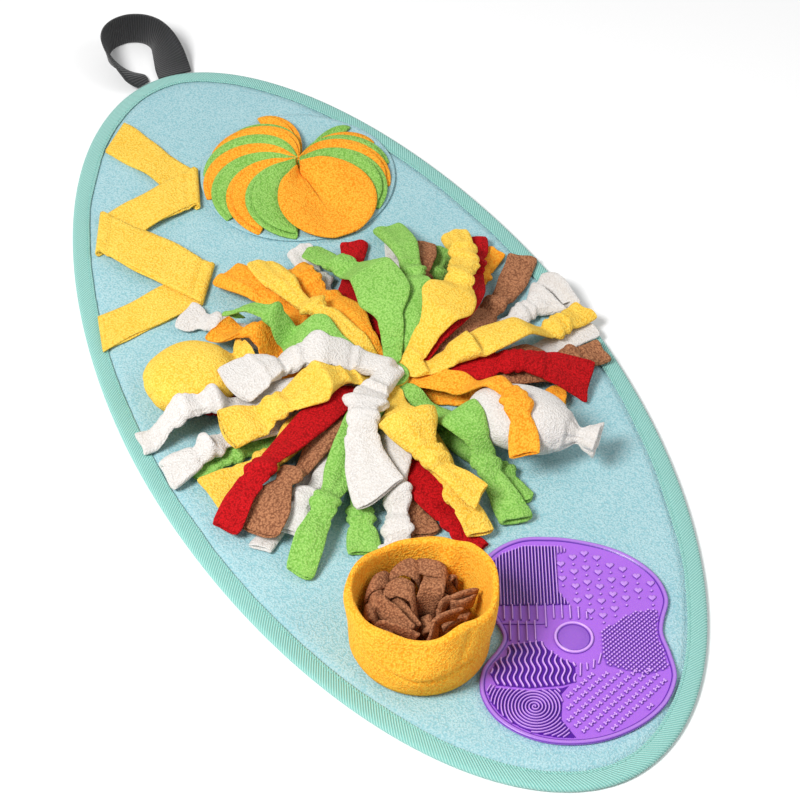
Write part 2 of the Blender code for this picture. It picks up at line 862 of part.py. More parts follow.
# Along a curl: share of its height, how far it has bent over, and the turn of its face in degrees.
CurlRow = namedtuple("CurlRow", "share bend face")
CURL_ROWS = [
    CurlRow(0.0, 0.0, 0),
    CurlRow(0.35, -1.2, 0),
    CurlRow(0.75, -1.0, 12),
    CurlRow(0.92, 0.6, 45),
    CurlRow(1.0, 3.2, 85),
    CurlRow(0.95, 6.0, 120),
    CurlRow(0.84, 7.6, 150),
]


def curl_rings(curl, root_z):
    """The sections of one curled strip, from its root to its cut end."""
    turn, lean = math.radians(curl.turn), math.radians(curl.lean)
    way = Vector((math.cos(lean), math.sin(lean), 0.0))
    up = Vector((0.0, 0.0, 1.0))
    across = Vector((-way.y, way.x, 0.0)) * curl.width * 0.5
    out = Vector((math.cos(turn), math.sin(turn), 0.0)) * curl.out
    root = Vector((*BASKET_AT, root_z)) + out
    rings = []
    for row in CURL_ROWS:
        place = root + way * row.bend + up * curl.height * row.share
        tilt = math.radians(row.face)
        side = (way * math.cos(tilt) - up * math.sin(tilt)) * CURL_THICK * 0.5
        rings.append(
            [place - across - side, place + across - side, place + across + side, place - across + side]
        )
    return rings


def build_basket_tuft(materials, group, cutters):
    """Short fleece strips rooted in a round patch on the basket's floor, each curling over."""
    floor = PANEL_THICK + GAP + BASKET_FLOOR + GAP
    bm = bmesh.new()
    bmesh.ops.create_cone(
        bm,
        cap_ends=True,
        segments=24,
        radius1=BASKET_RADIUS - BASKET_WALL - 7.0,
        radius2=BASKET_RADIUS - BASKET_WALL - 7.0,
        depth=PATCH_THICK,
    )
    bmesh.ops.translate(bm, vec=(*BASKET_AT, floor + PATCH_THICK * 0.5), verts=bm.verts)
    patch = add_object("basket_tuft", bm, materials["fleece_brown"], group)
    strips = bmesh.new()
    for curl in CURLS:
        loft(strips, curl_rings(curl, floor + PATCH_THICK * 0.5))
    union_with(patch, add_object("tuft_strips", strips, materials["fleece_brown"], cutters))
    return patch


def union_with(obj, tool):
    """Joins a helper's shape to an object. The helper itself is not part of the model."""
    tool.hide_render = True
    tool.display_type = "WIRE"
    join = obj.modifiers.new("join_" + tool.name, "BOOLEAN")
    join.operation = "UNION"
    join.use_self = True
    join.object = tool


# ---------------------------------------------------------------- the pile of knotted strips


class Pile:
    """A height map of all that lies on the mat, so that each piece can be laid on what is below it."""

    CELL = 1.0
    LOW = (-360.0, -200.0)
    SHAPE = (760, 400)

    def __init__(self):
        self.top = np.full(self.SHAPE, BINDING_TOP)

    def cells(self, x, y):
        i = np.clip(((x - self.LOW[0]) / self.CELL).astype(int), 0, self.SHAPE[0] - 1)
        j = np.clip(((y - self.LOW[1]) / self.CELL).astype(int), 0, self.SHAPE[1] - 1)
        return i, j

    def add_triangle(self, a, b, c):
        """Raises every cell that the triangle passes over."""
        longest = max(np.linalg.norm(b - a), np.linalg.norm(c - b), np.linalg.norm(a - c))
        count = max(2, int(longest / (self.CELL * 0.45)) + 1)
        u, v = np.meshgrid(np.arange(count + 1), np.arange(count + 1))
        inside = u + v <= count
        u, v = u[inside, None] / count, v[inside, None] / count
        points = a + (b - a) * u + (c - a) * v
        i, j = self.cells(points[:, 0], points[:, 1])
        np.maximum.at(self.top, (i, j), points[:, 2])

    def add_object(self, obj):
        mesh = obj.data
        mesh.calc_loop_triangles()
        points = np.array([vertex.co for vertex in mesh.vertices]) / MM
        for triangle in mesh.loop_triangles:
            self.add_triangle(*points[list(triangle.vertices)])

    def below(self, x, y):
        """The greatest height in the nine cells round each point."""
        i, j = self.cells(x, y)
        found = np.zeros(len(i))
        for di in (-1, 0, 1):
            for dj in (-1, 0, 1):
                near_i = np.clip(i + di, 0, self.SHAPE[0] - 1)
                near_j = np.clip(j + dj, 0, self.SHAPE[1] - 1)
                found = np.maximum(found, self.top[near_i, near_j])
        return found


# One knotted strip, seen from above: the direction it leaves the hub and the one it ends at, how far
# it reaches, how wide it bulges and where along it, where its knots are, and how wide its end is.
Strip = namedtuple("Strip", "leave end reach width belly knots tail", defaults=(20, 0.45, (0.8,), 22))

# The strips of each colour are sewn to one patch each. The patches are stacked in this order.
STRIP_GROUPS = {
    "green_low": [
        Strip(20, 17, 126, tail=14),
        Strip(-84, -86, 146, tail=26),
        Strip(-164, -163, 152, tail=18),
        Strip(140, 140, 145, tail=16),
        Strip(-44, -32, 140, width=20),
    ],
    "white_low": [
        Strip(104, 104, 152, tail=40, knots=(0.75,)),
        Strip(-90, -86, 162, tail=28),
        Strip(-146, -141, 156, knots=(0.85,), tail=26),
        Strip(152, 153, 146, tail=20),
        Strip(-56, -56, 158, tail=16),
    ],
    "brown_low": [
        Strip(-26, -16, 125, width=16),
        Strip(140, 147, 140, knots=(0.7,), tail=26),
    ],
    "orange_low": [
        Strip(124, 127, 156, tail=16),
        Strip(60, 59, 112, width=18, tail=28),
        Strip(-158, -158, 154, width=26, knots=(0.7,), tail=28),
    ],
    "red_low": [
        Strip(-106, -108, 144, tail=16),
        Strip(-20, -3, 146, width=26, belly=0.65, knots=(0.86,), tail=14),
    ],
    "yellow_low": [
        Strip(-8, -2, 138, tail=20),
        Strip(-76, -75, 148, knots=(0.7,), tail=30),
    ],
    "white_mid": [
        Strip(181, 180, 152, width=14, knots=(0.75,), tail=20),
        Strip(80, 90, 148, width=15, knots=(0.6,)),
        Strip(-100, -98, 168, knots=(0.7, 0.84), tail=20),
        Strip(-22, -24, 138, width=18, knots=(0.74, 0.9)),
        Strip(-54, -52, 142, width=16),
    ],
    "brown_top": [
        Strip(104, 120, 160, width=24, knots=(0.65,)),
        Strip(70, 80, 146, width=30, belly=0.65, knots=(0.84,)),
        Strip(-62, -59, 152, width=16, knots=(0.72,), tail=34),
    ],
    "red_top": [
        Strip(176, 165, 146, width=26, tail=20),
        Strip(110, 135, 155, width=24, tail=30),
        Strip(76, 67, 130, width=24, knots=(0.6,), tail=32),
        Strip(-72, -65, 160, width=22, knots=(0.76,), tail=22),
    ],
    "orange_top": [
        Strip(-172, -174, 132, width=26),
        Strip(-124, -138, 126, width=32, belly=0.55, knots=(0.76,), tail=26),
        Strip(60, 20, 115, width=16, tail=20),
        Strip(140, 138, 90),
    ],
    "green_mid": [
        Strip(138, 156, 158, width=22, knots=(0.57,)),
        Strip(-46, -45, 166, knots=(0.72,), tail=20),
        Strip(18, 9, 137, width=23, knots=(0.7,), tail=22),
    ],
    "yellow_top": [
        Strip(112, 138, 150, width=32, belly=0.4, knots=(0.6, 0.78)),
        Strip(82, 94, 150, width=23, knots=(0.82,)),
        Strip(-22, 1, 123, width=34, belly=0.4, knots=(0.7,), tail=18),
        Strip(-88, -87, 120, width=30, belly=0.45, knots=(0.7,), tail=30),
        Strip(-158, -165, 138, width=14, knots=(0.55,), tail=24),
    ],
    "green_top": [
        Strip(155, 179, 140, width=30, belly=0.33, knots=(0.82,)),
        Strip(-136, -142, 121, width=30, belly=0.45, knots=(0.68,), tail=16),
    ],
    "white_top": [
        Strip(-52, -29, 108, width=30, belly=0.3, knots=(0.55,), tail=34),
        Strip(-128, -102, 105, width=28, knots=(0.62,), tail=34),
    ],
}
STRIP_THICK = 5.6
KNOT_THICK = 10.0
KNOT_WIDTH = 17.0
KNOT_HALF = 4.0  # from a knot's middle to where it starts to narrow
NECK = 9.0  # from a knot's middle to the neck on each side of it
NECK_THICK = 4.5
TAIL_THICK = 4.0
SLOPE = 0.9  # the steepest that a strip falls
SINK_STEPS = 12
ROLL = 0.3  # the steepest that a strip leans to one side
TOP_SHARE = 0.72  # the width of a strip's top, as a share of its underside


def strip_sections(strip):
    """(distance from the hub's centre, width, thickness) of each section of a strip, root to end."""
    first = strip.knots[0] * strip.reach - NECK
    middle = min(max(strip.belly * strip.reach, 52.0), first - 10.0)
    rows = [
        (FLAT_RADIUS, 8.0, HUB_THICK),
        (29.0, 11.5, 2.4),
        (40.0, min(16.0, strip.width), 4.0),
        ((40.0 + middle) * 0.5, min(strip.width, 14.0 + 0.3 * strip.width), 5.0),
        (middle, strip.width, STRIP_THICK),
        (middle + (first - middle) * 0.55, strip.width * 0.88, STRIP_THICK),
        (first, strip.width * 0.5, NECK_THICK),
    ]
    for knot in strip.knots:
        at = knot * strip.reach
        rows.append((at - KNOT_HALF, max(KNOT_WIDTH, strip.width * 0.8), KNOT_THICK))
        rows.append((at + KNOT_HALF, max(KNOT_WIDTH, strip.width * 0.75), KNOT_THICK * 0.9))
        rows.append((at + NECK, min(strip.tail, strip.width) * 0.6, NECK_THICK))
    last = rows[-1][0]
    rows.append((last + (strip.reach - last) * 0.45, strip.tail * 0.9, TAIL_THICK))
    rows.append((strip.reach, strip.tail, TAIL_THICK))
    return rows


def strip_place(strip, distance):
    """Where the strip's middle line is, in plan."""
    share = max(distance - FLAT_RADIUS, 0.0) / (strip.reach - FLAT_RADIUS)
    turn = math.radians(strip.leave + (strip.end - strip.leave) * share**1.2)
    return np.array((HUB_AT[0] + distance * math.cos(turn), HUB_AT[1] + distance * math.sin(turn)))


def strip_edges(strip, distance, width):
    """The left and right edge of the strip in plan, at a distance from the hub."""
    along = strip_place(strip, distance + 1.0) - strip_place(strip, distance - 1.0)
    across = np.array((-along[1], along[0])) / np.linalg.norm(along) * width * 0.5
    place = strip_place(strip, distance)
    return place - across, place + across


def what_is_below(rows, edges, pile):
    """Rows of (four weights, first section, height): each weights the corners of one underside
    face, and the height is what that point of the face has to clear."""
    found = []
    for index in range(len(rows) - 1):
        (left_a, right_a), (left_b, right_b) = edges[index], edges[index + 1]
        steps = max(3, int((rows[index + 1][0] - rows[index][0]) / 1.2))
        sides = max(5, int(rows[index][1] / 1.2))
        share, side = np.meshgrid(np.linspace(0, 1, steps + 1), np.linspace(0, 1, sides + 1))
        share, side = share.ravel(), side.ravel()
        # The face is cut from the near left corner to the far right one.
        near = side >= share
        weights = np.stack(
            [
                np.where(near, 1 - side, 1 - share),
                np.where(near, side - share, 0.0),
                np.where(near, 0.0, share - side),
                np.where(near, share, side),
            ],
            axis=1,
        )
        place = weights @ np.array([left_a, right_a, left_b, right_b])
        loose = 0.35 if rows[index + 1][0] < 30.0 else 0.6
        height = pile.below(place[:, 0], place[:, 1]) + loose
        if index == 0:
            weights, height = weights[share > 0.9], height[share > 0.9]
        found.append((weights, index, height))
    return found


def lowest_fit(below, heights, index, side):
    """The lowest that one corner of a section can go, with all the other corners as they are."""
    low = 0.0
    for weights, first, height in below[max(index - 1, 0) : index + 1]:
        corner = 2 * (index - first) + side
        own = weights[:, corner]
        used = own > 0.02
        if used.any():
            corners = heights[first : first + 2].ravel()
            rest = weights[used] @ corners - own[used] * corners[corner]
            low = max(low, ((height[used] - rest) / own[used]).max())
    return low


def lay_strip(strip, pile, hub_z):
    """The sections of a strip laid on the pile: rings of four points, from its root outwards.

    Every section starts above all that is near it, and then sinks a little at a time."""
    rows = strip_sections(strip)
    edges = [strip_edges(strip, distance, width) for distance, width, _ in rows]
    below = what_is_below(rows, edges, pile)
    heights = np.zeros((len(rows), 2))
    heights[0] = hub_z
    for index in range(1, len(rows)):
        heights[index] = max(height.max() for _, _, height in below[index - 1 : index + 1])
    for _ in range(SINK_STEPS):
        for index in range(1, len(rows)):
            fall = SLOPE * (rows[index][0] - rows[index - 1][0])
            for side in (0, 1):
                low = max(
                    lowest_fit(below, heights, index, side),
                    heights[index - 1][side] - fall,
                    heights[index][1 - side] - ROLL * rows[index][1],
                )
                heights[index][side] = min(heights[index][side], low * 0.5 + heights[index][side] * 0.5)

    rings = []
    for (left, right), (_, _, thick), (low_left, low_right) in zip(edges, rows, heights):
        middle, half = (left + right) * 0.5, (right - left) * 0.5 * TOP_SHARE
        mean, lean = (low_left + low_right) * 0.5, (low_right - low_left) * 0.5 * TOP_SHARE
        rings.append(
            [
                (*left, low_left),
                (*right, low_right),
                (*(middle + half), mean + lean + thick),
                (*(middle - half), mean - lean + thick),
            ]
        )
    return rings


def build_tuft(name, strips, level, pile, materials, group):
    """One patch and the strips sewn into its edge, as one closed body."""
    hub_z = PANEL_THICK + GAP + HUB_PITCH * level
    half_root = math.degrees(math.asin(ROOT_WIDTH * 0.5 / HUB_RADIUS))
    bm = bmesh.new()
    roots = []
    lower, upper = [], []

    def edge_pair(turn):
        angle = math.radians(turn)
        x = HUB_AT[0] + HUB_RADIUS * math.cos(angle)
        y = HUB_AT[1] + HUB_RADIUS * math.sin(angle)
        pair = (bm.verts.new((x, y, hub_z)), bm.verts.new((x, y, hub_z + HUB_THICK)))
        lower.append(pair[0])
        upper.append(pair[1])
        return pair

    ordered = sorted(strips, key=lambda strip: strip.leave % 360.0)
    for index, strip in enumerate(ordered):
        turn = strip.leave % 360.0
        following = ordered[(index + 1) % len(ordered)].leave % 360.0
        space = (following - turn) % 360.0 or 360.0
        right, left = edge_pair(turn - half_root), edge_pair(turn + half_root)
        roots.append((strip, (right[0], left[0], left[1], right[1])))
        # More points where the patch's edge is free, so that it stays round.
        free = space - 2.0 * half_root
        for step in range(1, int(free / 30.0) + 1):
            edge_pair(turn + half_root + free * step / (int(free / 30.0) + 1))
    bm.faces.new(list(reversed(lower)))
    bm.faces.new(upper)
    root_starts = {root[0] for _, root in roots}
    for i, start in enumerate(lower):
        if start not in root_starts:
            j = (i + 1) % len(lower)
            bm.faces.new((start, lower[j], upper[j], upper[i]))

    for strip, root in sorted(roots, key=lambda item: strips.index(item[0])):
        made = [list(root)] + [ring_verts(bm, ring) for ring in lay_strip(strip, pile, hub_z)]
        for triangle in strip_faces(bm, made):
            pile.add_triangle(*[np.array(vert.co) for vert in triangle])
        bm.faces.new(made[-1])
    return add_object("tuft_" + name, bm, materials["fleece_" + name.split("_")[0]], group)


# A pouch of fleece gathered at a neck: the group it lies on, its place, the height of its middle, the
# direction of its neck, and its length, width and height.
Pod = namedtuple("Pod", "name after x y z turn length width height")
PODS = [
    Pod("pod_yellow", "yellow_low", -26, -106, 20, 97, 62, 58, 34),
    Pod("pod_white", "red_top", 103, 67, 28, 45, 71, 47, 36),
]
POD_SQUEEZE = 0.4  # how thin the pod gets where it lies on something
POD_STEPS = 14
# Along a pod: distance from its middle and size, as shares of its half length and of its section.
PodRow = namedtuple("PodRow", "along size")
POD_ROWS = [
    PodRow(-1.0, 0.30),
    PodRow(-0.86, 0.62),
    PodRow(-0.55, 0.90),
    PodRow(-0.10, 1.0),
    PodRow(0.35, 0.93),
    PodRow(0.68, 0.66),
    PodRow(0.90, 0.34),
    PodRow(1.02, 0.24),
    PodRow(1.14, 0.40),
    PodRow(1.34, 0.52),
]


def build_pod(pod, pile, materials, group):
    """A stuffed pouch, its underside pressed flat on the mat and over the strips below."""
    turn = math.radians(pod.turn)
    way = Vector((math.cos(turn), math.sin(turn)))
    across = Vector((-way.y, way.x))
    near_x, near_y = (grid.ravel() for grid in np.meshgrid(np.arange(-8, 9, 4), np.arange(-8, 9, 4)))
    rings = []
    for row in POD_ROWS:
        ring = []
        for step in range(POD_STEPS):
            angle = 2.0 * math.pi * step / POD_STEPS
            side = across * math.cos(angle) * row.size * pod.width * 0.5
            lift = max(math.sin(angle), -0.8) * row.size * pod.height * 0.5
            place = Vector((pod.x, pod.y)) + way * row.along * pod.length * 0.5 + side
            ground = pile.below(place.x + near_x, place.y + near_y).max() + 0.6
            pressed = ground + POD_SQUEEZE * (lift + 0.4 * pod.height)
            ring.append((place.x, place.y, max(pod.z + lift, pressed)))
        rings.append(ring)
    bm = bmesh.new()
    loft(bm, rings)
    made = add_object(pod.name, bm, materials["fleece_" + pod.name.split("_")[1]], group)
    pile.add_object(made)
    return made


def build_pile(laid, materials, group):
    """Lays the groups of strips and the pods one on another, over everything that is on the mat."""
    pile = Pile()
    for obj in laid:
        pile.add_object(obj)
    for level, (name, strips) in enumerate(STRIP_GROUPS.items()):
        build_tuft(name, strips, level, pile, materials, group)
        for pod in PODS:
            if pod.after == name:
                build_pod(pod, pile, materials, group)


def main():
    clear_scene()
    group = collection("snuffle_mat")
    cutters = collection("helpers")
    materials = make_materials()
    build_panel(materials, group)
    build_binding(materials, group)
    build_strap(materials, group)
    laid = [build_zigzag(materials, group)] + build_flower(materials, group)
    laid += build_lick_pad(materials, group, cutters)
    laid.append(build_basket(materials, group))
    build_basket_tuft(materials, group, cutters)
    build_pile(laid, materials, group)


main()
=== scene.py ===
# %% [markdown]
# # Dressing a snuffle mat
# Each of them gets its cloth here: soft edges, creases, knots, stitches and a pebbly pile. Nothing
# is moved or resized.

# %% Load the frame
import math
import random
from collections import namedtuple

import bmesh
import bpy
import numpy as np
from mathutils import Matrix, Vector
from mathutils.bvhtree import BVHTree


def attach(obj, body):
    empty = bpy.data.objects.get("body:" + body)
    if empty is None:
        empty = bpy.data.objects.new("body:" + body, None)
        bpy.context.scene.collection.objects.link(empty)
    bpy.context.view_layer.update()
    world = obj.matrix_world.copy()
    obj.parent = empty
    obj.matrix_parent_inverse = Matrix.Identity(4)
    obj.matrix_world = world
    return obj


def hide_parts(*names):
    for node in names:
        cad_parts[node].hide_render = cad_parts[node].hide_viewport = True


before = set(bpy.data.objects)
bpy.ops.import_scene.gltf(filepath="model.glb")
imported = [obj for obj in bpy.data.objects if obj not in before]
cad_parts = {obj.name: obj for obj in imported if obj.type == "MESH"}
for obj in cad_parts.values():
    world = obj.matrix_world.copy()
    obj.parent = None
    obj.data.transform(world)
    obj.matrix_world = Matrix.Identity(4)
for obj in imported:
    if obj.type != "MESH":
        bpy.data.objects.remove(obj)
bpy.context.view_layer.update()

MM = 0.001
TURN = 2.0 * math.pi

# %% [markdown]
# ## Helpers
# Most pieces are sheets: a grid of points is the middle of the cloth, and `cloth_mesh` gives
# it a thickness and a rounded cut edge. The others are tubes: rings of points that `tube_mesh` joins.


# %% Make an object from points and faces
def add_piece(name, shape, material, replaced=(), uvs=None, round_uv=0.0):
    """One piece of the mat, from its shape: points in millimetres, and faces.

    uvs says how far along and across a tape each point lies, in metres, and round_uv is the whole length
    of a tape that closes on itself."""
    points, faces = shape
    mesh = bpy.data.meshes.new(name)
    mesh.from_pydata([tuple(float(c) * MM for c in point) for point in points], [], faces)
    mesh.shade_smooth()
    mesh.materials.append(material)
    if uvs is not None:
        layer = mesh.uv_layers.new(name="UVMap")
        longest = max(u for u, _ in uvs)
        for face in mesh.polygons:
            # The last face round a closed tape joins its end to its start: the start counts as the end there.
            runs = [uvs[v][0] for v in face.vertices]
            wraps = max(runs) - min(runs) > longest * 0.5
            for loop in face.loop_indices:
                u, v = uvs[mesh.loops[loop].vertex_index]
                layer.data[loop].uv = (u + round_uv if wraps and u < longest * 0.5 else u, v)
    bm = bmesh.new()
    bm.from_mesh(mesh)
    bmesh.ops.recalc_face_normals(bm, faces=bm.faces)
    bm.to_mesh(mesh)
    bm.free()
    piece = bpy.data.objects.new(name, mesh)
    bpy.context.scene.collection.objects.link(piece)
    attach(piece, "root")
    if replaced:
        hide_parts(*replaced)
    return piece


def unit(vectors):
    length = np.linalg.norm(vectors, axis=-1, keepdims=True)
    return vectors / np.maximum(length, 1e-9)


# %% Give a grid of points a thickness
EDGE_OUT = 0.66  # how far a cut edge stands out, as a share of half the thickness


def grid_slopes(grid, closed=False):
    """How the grid runs on at each of its points: from row to row, and from column to column."""
    along = np.gradient(grid, axis=0)
    if closed:
        return along, (np.roll(grid, -1, axis=1) - np.roll(grid, 1, axis=1)) * 0.5
    return along, np.gradient(grid, axis=1)


def rim_loops(rows, columns, closed):
    """Each cut edge as (row, column) pairs, and the way out of it: -1 or 1 along the rows, or 0 all round."""
    first = [(0, j) for j in range(columns)]
    last = [(rows - 1, j) for j in range(columns)]
    if closed:
        return [(first, -1), (last, 1)]
    right = [(i, columns - 1) for i in range(1, rows)]
    left = [(i, 0) for i in range(rows - 2, 0, -1)]
    return [(first + right + last[-2::-1] + left, 0)]


def cloth_mesh(grid, thick, closed=False):
    """Points and faces of a sheet. grid is rows × columns × 3, and with closed its columns run round.

    The cut edge is rounded: halfway up it, the cloth stands out by a third of its thickness."""
    grid = np.asarray(grid, float)
    rows, columns = grid.shape[:2]
    along, across = grid_slopes(grid, closed)
    normal = unit(np.cross(along, across))
    half = np.broadcast_to(np.asarray(thick, float), (rows, columns))[..., None] * 0.5
    points = [*(grid + normal * half).reshape(-1, 3), *(grid - normal * half).reshape(-1, 3)]
    count = rows * columns
    faces = []
    for i in range(rows - 1):
        for j in range(columns if closed else columns - 1):
            a, b = i * columns + j, i * columns + (j + 1) % columns
            c, d = b + columns, a + columns
            faces.append((a, b, c, d))
            faces.append((d + count, c + count, b + count, a + count))
    # Each cut edge gets a middle row that stands out a little.
    for loop, way in rim_loops(rows, columns, closed):
        start = len(points)
        for i, j in loop:
            if way:
                out = unit(along[i, j]) * way
            else:
                out = unit(along[i, j]) * ((i == rows - 1) - (i == 0))
                out = unit(out + unit(across[i, j]) * ((j == columns - 1) - (j == 0)))
            points.append(grid[i, j] + out * half[i, j] * EDGE_OUT)
        for k in range(len(loop)):
            m = (k + 1) % len(loop)
            a, b = (loop[n][0] * columns + loop[n][1] for n in (k, m))
            faces.append((a, b, start + m, start + k))
            faces.append((start + k, start + m, b + count, a + count))
    return np.array(points), faces


# %% Join meshes, and close rings into a tube
def join_meshes(parts):
    """Several (points, faces) as one."""
    points, faces, start = [], [], 0
    for part_points, part_faces in parts:
        points.append(np.asarray(part_points, float))
        faces += [tuple(index + start for index in face) for face in part_faces]
        start += len(part_points)
    return np.concatenate(points), faces


def tube_mesh(rings):
    """Points and faces of a closed body through rings, its ends closed by fans."""
    rings = np.asarray(rings, float)
    count, size = rings.shape[:2]
    points = np.concatenate([rings.reshape(-1, 3), rings[0].mean(axis=0)[None], rings[-1].mean(axis=0)[None]])
    faces = []
    for i in range(count - 1):
        for j in range(size):
            k = (j + 1) % size
            faces.append((i * size + j, i * size + k, (i + 1) * size + k, (i + 1) * size + j))
    for j in range(size):
        k = (j + 1) % size
        faces.append((count * size, k, j))
        faces.append((count * size + 1, (count - 1) * size + j, (count - 1) * size + k))
    return points, faces


def smooth_step(t):
    t = np.clip(t, 0.0, 1.0)
    return t * t * (3.0 - 2.0 * t)


def bell(value, width):
    return math.exp(-((value / width) ** 2))


print("helpers are ready")

# %% [markdown]
# ## Materials
# Fleece is knitted and brushed, so its face is a field of small bobbles. One node group makes that
# relief from cells with finer fibre noise on top, and every fleece colour uses it. Colour
# between the bobbles is deeper, as light is lost there. A sheen stands for the loose fibres.


# %% The fleece pile as a node group
BEND = 0.0014  # how far the cells of the pile are bent out of shape, in metres
BEND_SCALE, FIBRE_SCALE, PATCH_SCALE = 420.0, 2400.0, 34.0


def new_group(name, inputs, outputs):
    group = bpy.data.node_groups.new(name, "ShaderNodeTree")
    for socket, default in inputs:
        made = group.interface.new_socket(name=socket, in_out="INPUT", socket_type="NodeSocketFloat")
        made.default_value = default
    for socket in outputs:
        group.interface.new_socket(name=socket, in_out="OUTPUT", socket_type="NodeSocketFloat")
    start = group.nodes.new("NodeGroupInput")
    end = group.nodes.new("NodeGroupOutput")
    return group, start, end


def feed(tree, value, socket):
    """A number is set on the socket, and anything else is linked to it."""
    if isinstance(value, (int, float)):
        socket.default_value = value
    else:
        tree.links.new(value, socket)


def math_node(tree, operation, *values):
    node = tree.nodes.new("ShaderNodeMath")
    node.operation = operation
    for socket, value in zip(node.inputs, values):
        feed(tree, value, socket)
    return node.outputs[0]


def texture(tree, kind, vector, scale, **settings):
    node = tree.nodes.new("ShaderNodeTex" + kind)
    tree.links.new(vector, node.inputs["Vector"])
    feed(tree, scale, node.inputs["Scale"])
    for setting, value in settings.items():
        if setting in node.inputs:
            node.inputs[setting].default_value = value
        else:
            setattr(node, setting, value)
    return node


def make_pile_group():
    """Bobbles of brushed fleece. Scale is bobbles per metre. Height is the relief, and the other output is
    the painted shade between the bobbles with a random mottle on it; both run from 0 to 1.
    """
    group, start, end = new_group("fleece pile", [("Scale", 420.0), ("Fibre", 0.35)], ["Height", "Depth"])
    place = group.nodes.new("ShaderNodeTexCoord").outputs["Object"]
    warp = texture(group, "Noise", place, BEND_SCALE, Detail=2.0)
    bent = group.nodes.new("ShaderNodeVectorMath")
    bent.operation = "MULTIPLY_ADD"
    bent.inputs[1].default_value = (BEND, BEND, BEND)
    group.links.new(warp.outputs["Color"], bent.inputs[0])
    group.links.new(place, bent.inputs[2])
    cells = texture(
        group, "Voronoi", bent.outputs[0], start.outputs["Scale"], feature="SMOOTH_F1", Smoothness=0.6
    )
    fibres = texture(group, "Noise", place, FIBRE_SCALE, Detail=3.0, Roughness=0.7)
    round_top = math_node(group, "SUBTRACT", 1.0, cells.outputs["Distance"])
    fine = math_node(group, "MULTIPLY", fibres.outputs["Fac"], start.outputs["Fibre"])
    height = math_node(group, "ADD", round_top, fine)
    group.links.new(height, end.inputs["Height"])
    patches = texture(group, "Noise", place, PATCH_SCALE, Detail=3.0)
    # Painted shade: the colour darkens where the cells fall away between the bobbles. The patches add a
    # random mottle.
    low = math_node(group, "MULTIPLY", cells.outputs["Distance"], 0.9)
    mottled = math_node(group, "MULTIPLY", patches.outputs["Fac"], 0.22)
    group.links.new(math_node(group, "ADD", low, mottled), end.inputs["Depth"])
    return group


PILE = make_pile_group()
print("pile sockets:", [item.name for item in PILE.interface.items_tree])


# %% A fleece of any colour
def set_sockets(node, values):
    for socket, value in values.items():
        node.inputs[socket].default_value = value


def new_material(name, values):
    material = bpy.data.materials.new(name)
    material.use_nodes = True
    shader = material.node_tree.nodes["Principled BSDF"]
    set_sockets(shader, values)
    return material, material.node_tree, shader


def place_group(tree, group, values):
    node = tree.nodes.new("ShaderNodeGroup")
    node.node_tree = group
    set_sockets(node, values)
    return node.outputs


def paint(tree, shader, factor, stops):
    """The base colour, picked from stops of (position, colour) by a factor."""
    ramp = tree.nodes.new("ShaderNodeValToRGB")
    while len(ramp.color_ramp.elements) < len(stops):
        ramp.color_ramp.elements.new(0.5)
    for element, (position, colour) in zip(ramp.color_ramp.elements, stops):
        element.position = position
        element.color = (*colour, 1.0)
    tree.links.new(factor, ramp.inputs["Fac"])
    tree.links.new(ramp.outputs["Color"], shader.inputs["Base Color"])


def bump(tree, shader, height, distance):
    node = tree.nodes.new("ShaderNodeBump")
    set_sockets(node, {"Strength": 1.0, "Distance": distance})
    tree.links.new(height, node.inputs["Height"])
    tree.links.new(node.outputs["Normal"], shader.inputs["Normal"])


# Each fleece: the colour of its bobbles, the painted shade colour between them, bobbles a metre and their
# height.
Fleece = namedtuple("Fleece", "face deep scale height")
FLEECES = {
    "pale_blue": Fleece((0.45, 0.64, 0.67), (0.25, 0.48, 0.53), 880, 0.0006),
    "yellow": Fleece((0.97, 0.71, 0.13), (0.83, 0.45, 0.035), 840, 0.0008),
    "orange": Fleece((0.98, 0.50, 0.05), (0.88, 0.25, 0.008), 840, 0.0007),
    "amber": Fleece((0.99, 0.57, 0.06), (0.93, 0.31, 0.01), 780, 0.0008),
    "green": Fleece((0.36, 0.65, 0.16), (0.17, 0.41, 0.06), 820, 0.0009),
    "red": Fleece((0.60, 0.006, 0.010), (0.26, 0.001, 0.002), 880, 0.0008),
    "white": Fleece((0.76, 0.735, 0.71), (0.63, 0.59, 0.55), 860, 0.0007),
    "brown": Fleece((0.50, 0.22, 0.105), (0.19, 0.07, 0.032), 800, 0.0009),
}


def make_fleece(name, fleece):
    material, tree, shader = new_material("fleece_" + name, {
        "Roughness": 0.95, "Specular IOR Level": 0.2,
        "Sheen Weight": 0.35, "Sheen Roughness": 0.6, "Sheen Tint": (*fleece.face, 1.0),
    })
    pile = place_group(tree, PILE, {"Scale": fleece.scale})
    # The deep colour is painted shade between the bobbles.
    paint(tree, shader, pile["Depth"], [(0.28, fleece.face), (0.76, fleece.deep)])
    bump(tree, shader, pile["Height"], fleece.height)
    return material


FLEECE = {name: make_fleece(name, fleece) for name, fleece in FLEECES.items()}
print("fleeces:", ", ".join(FLEECE))
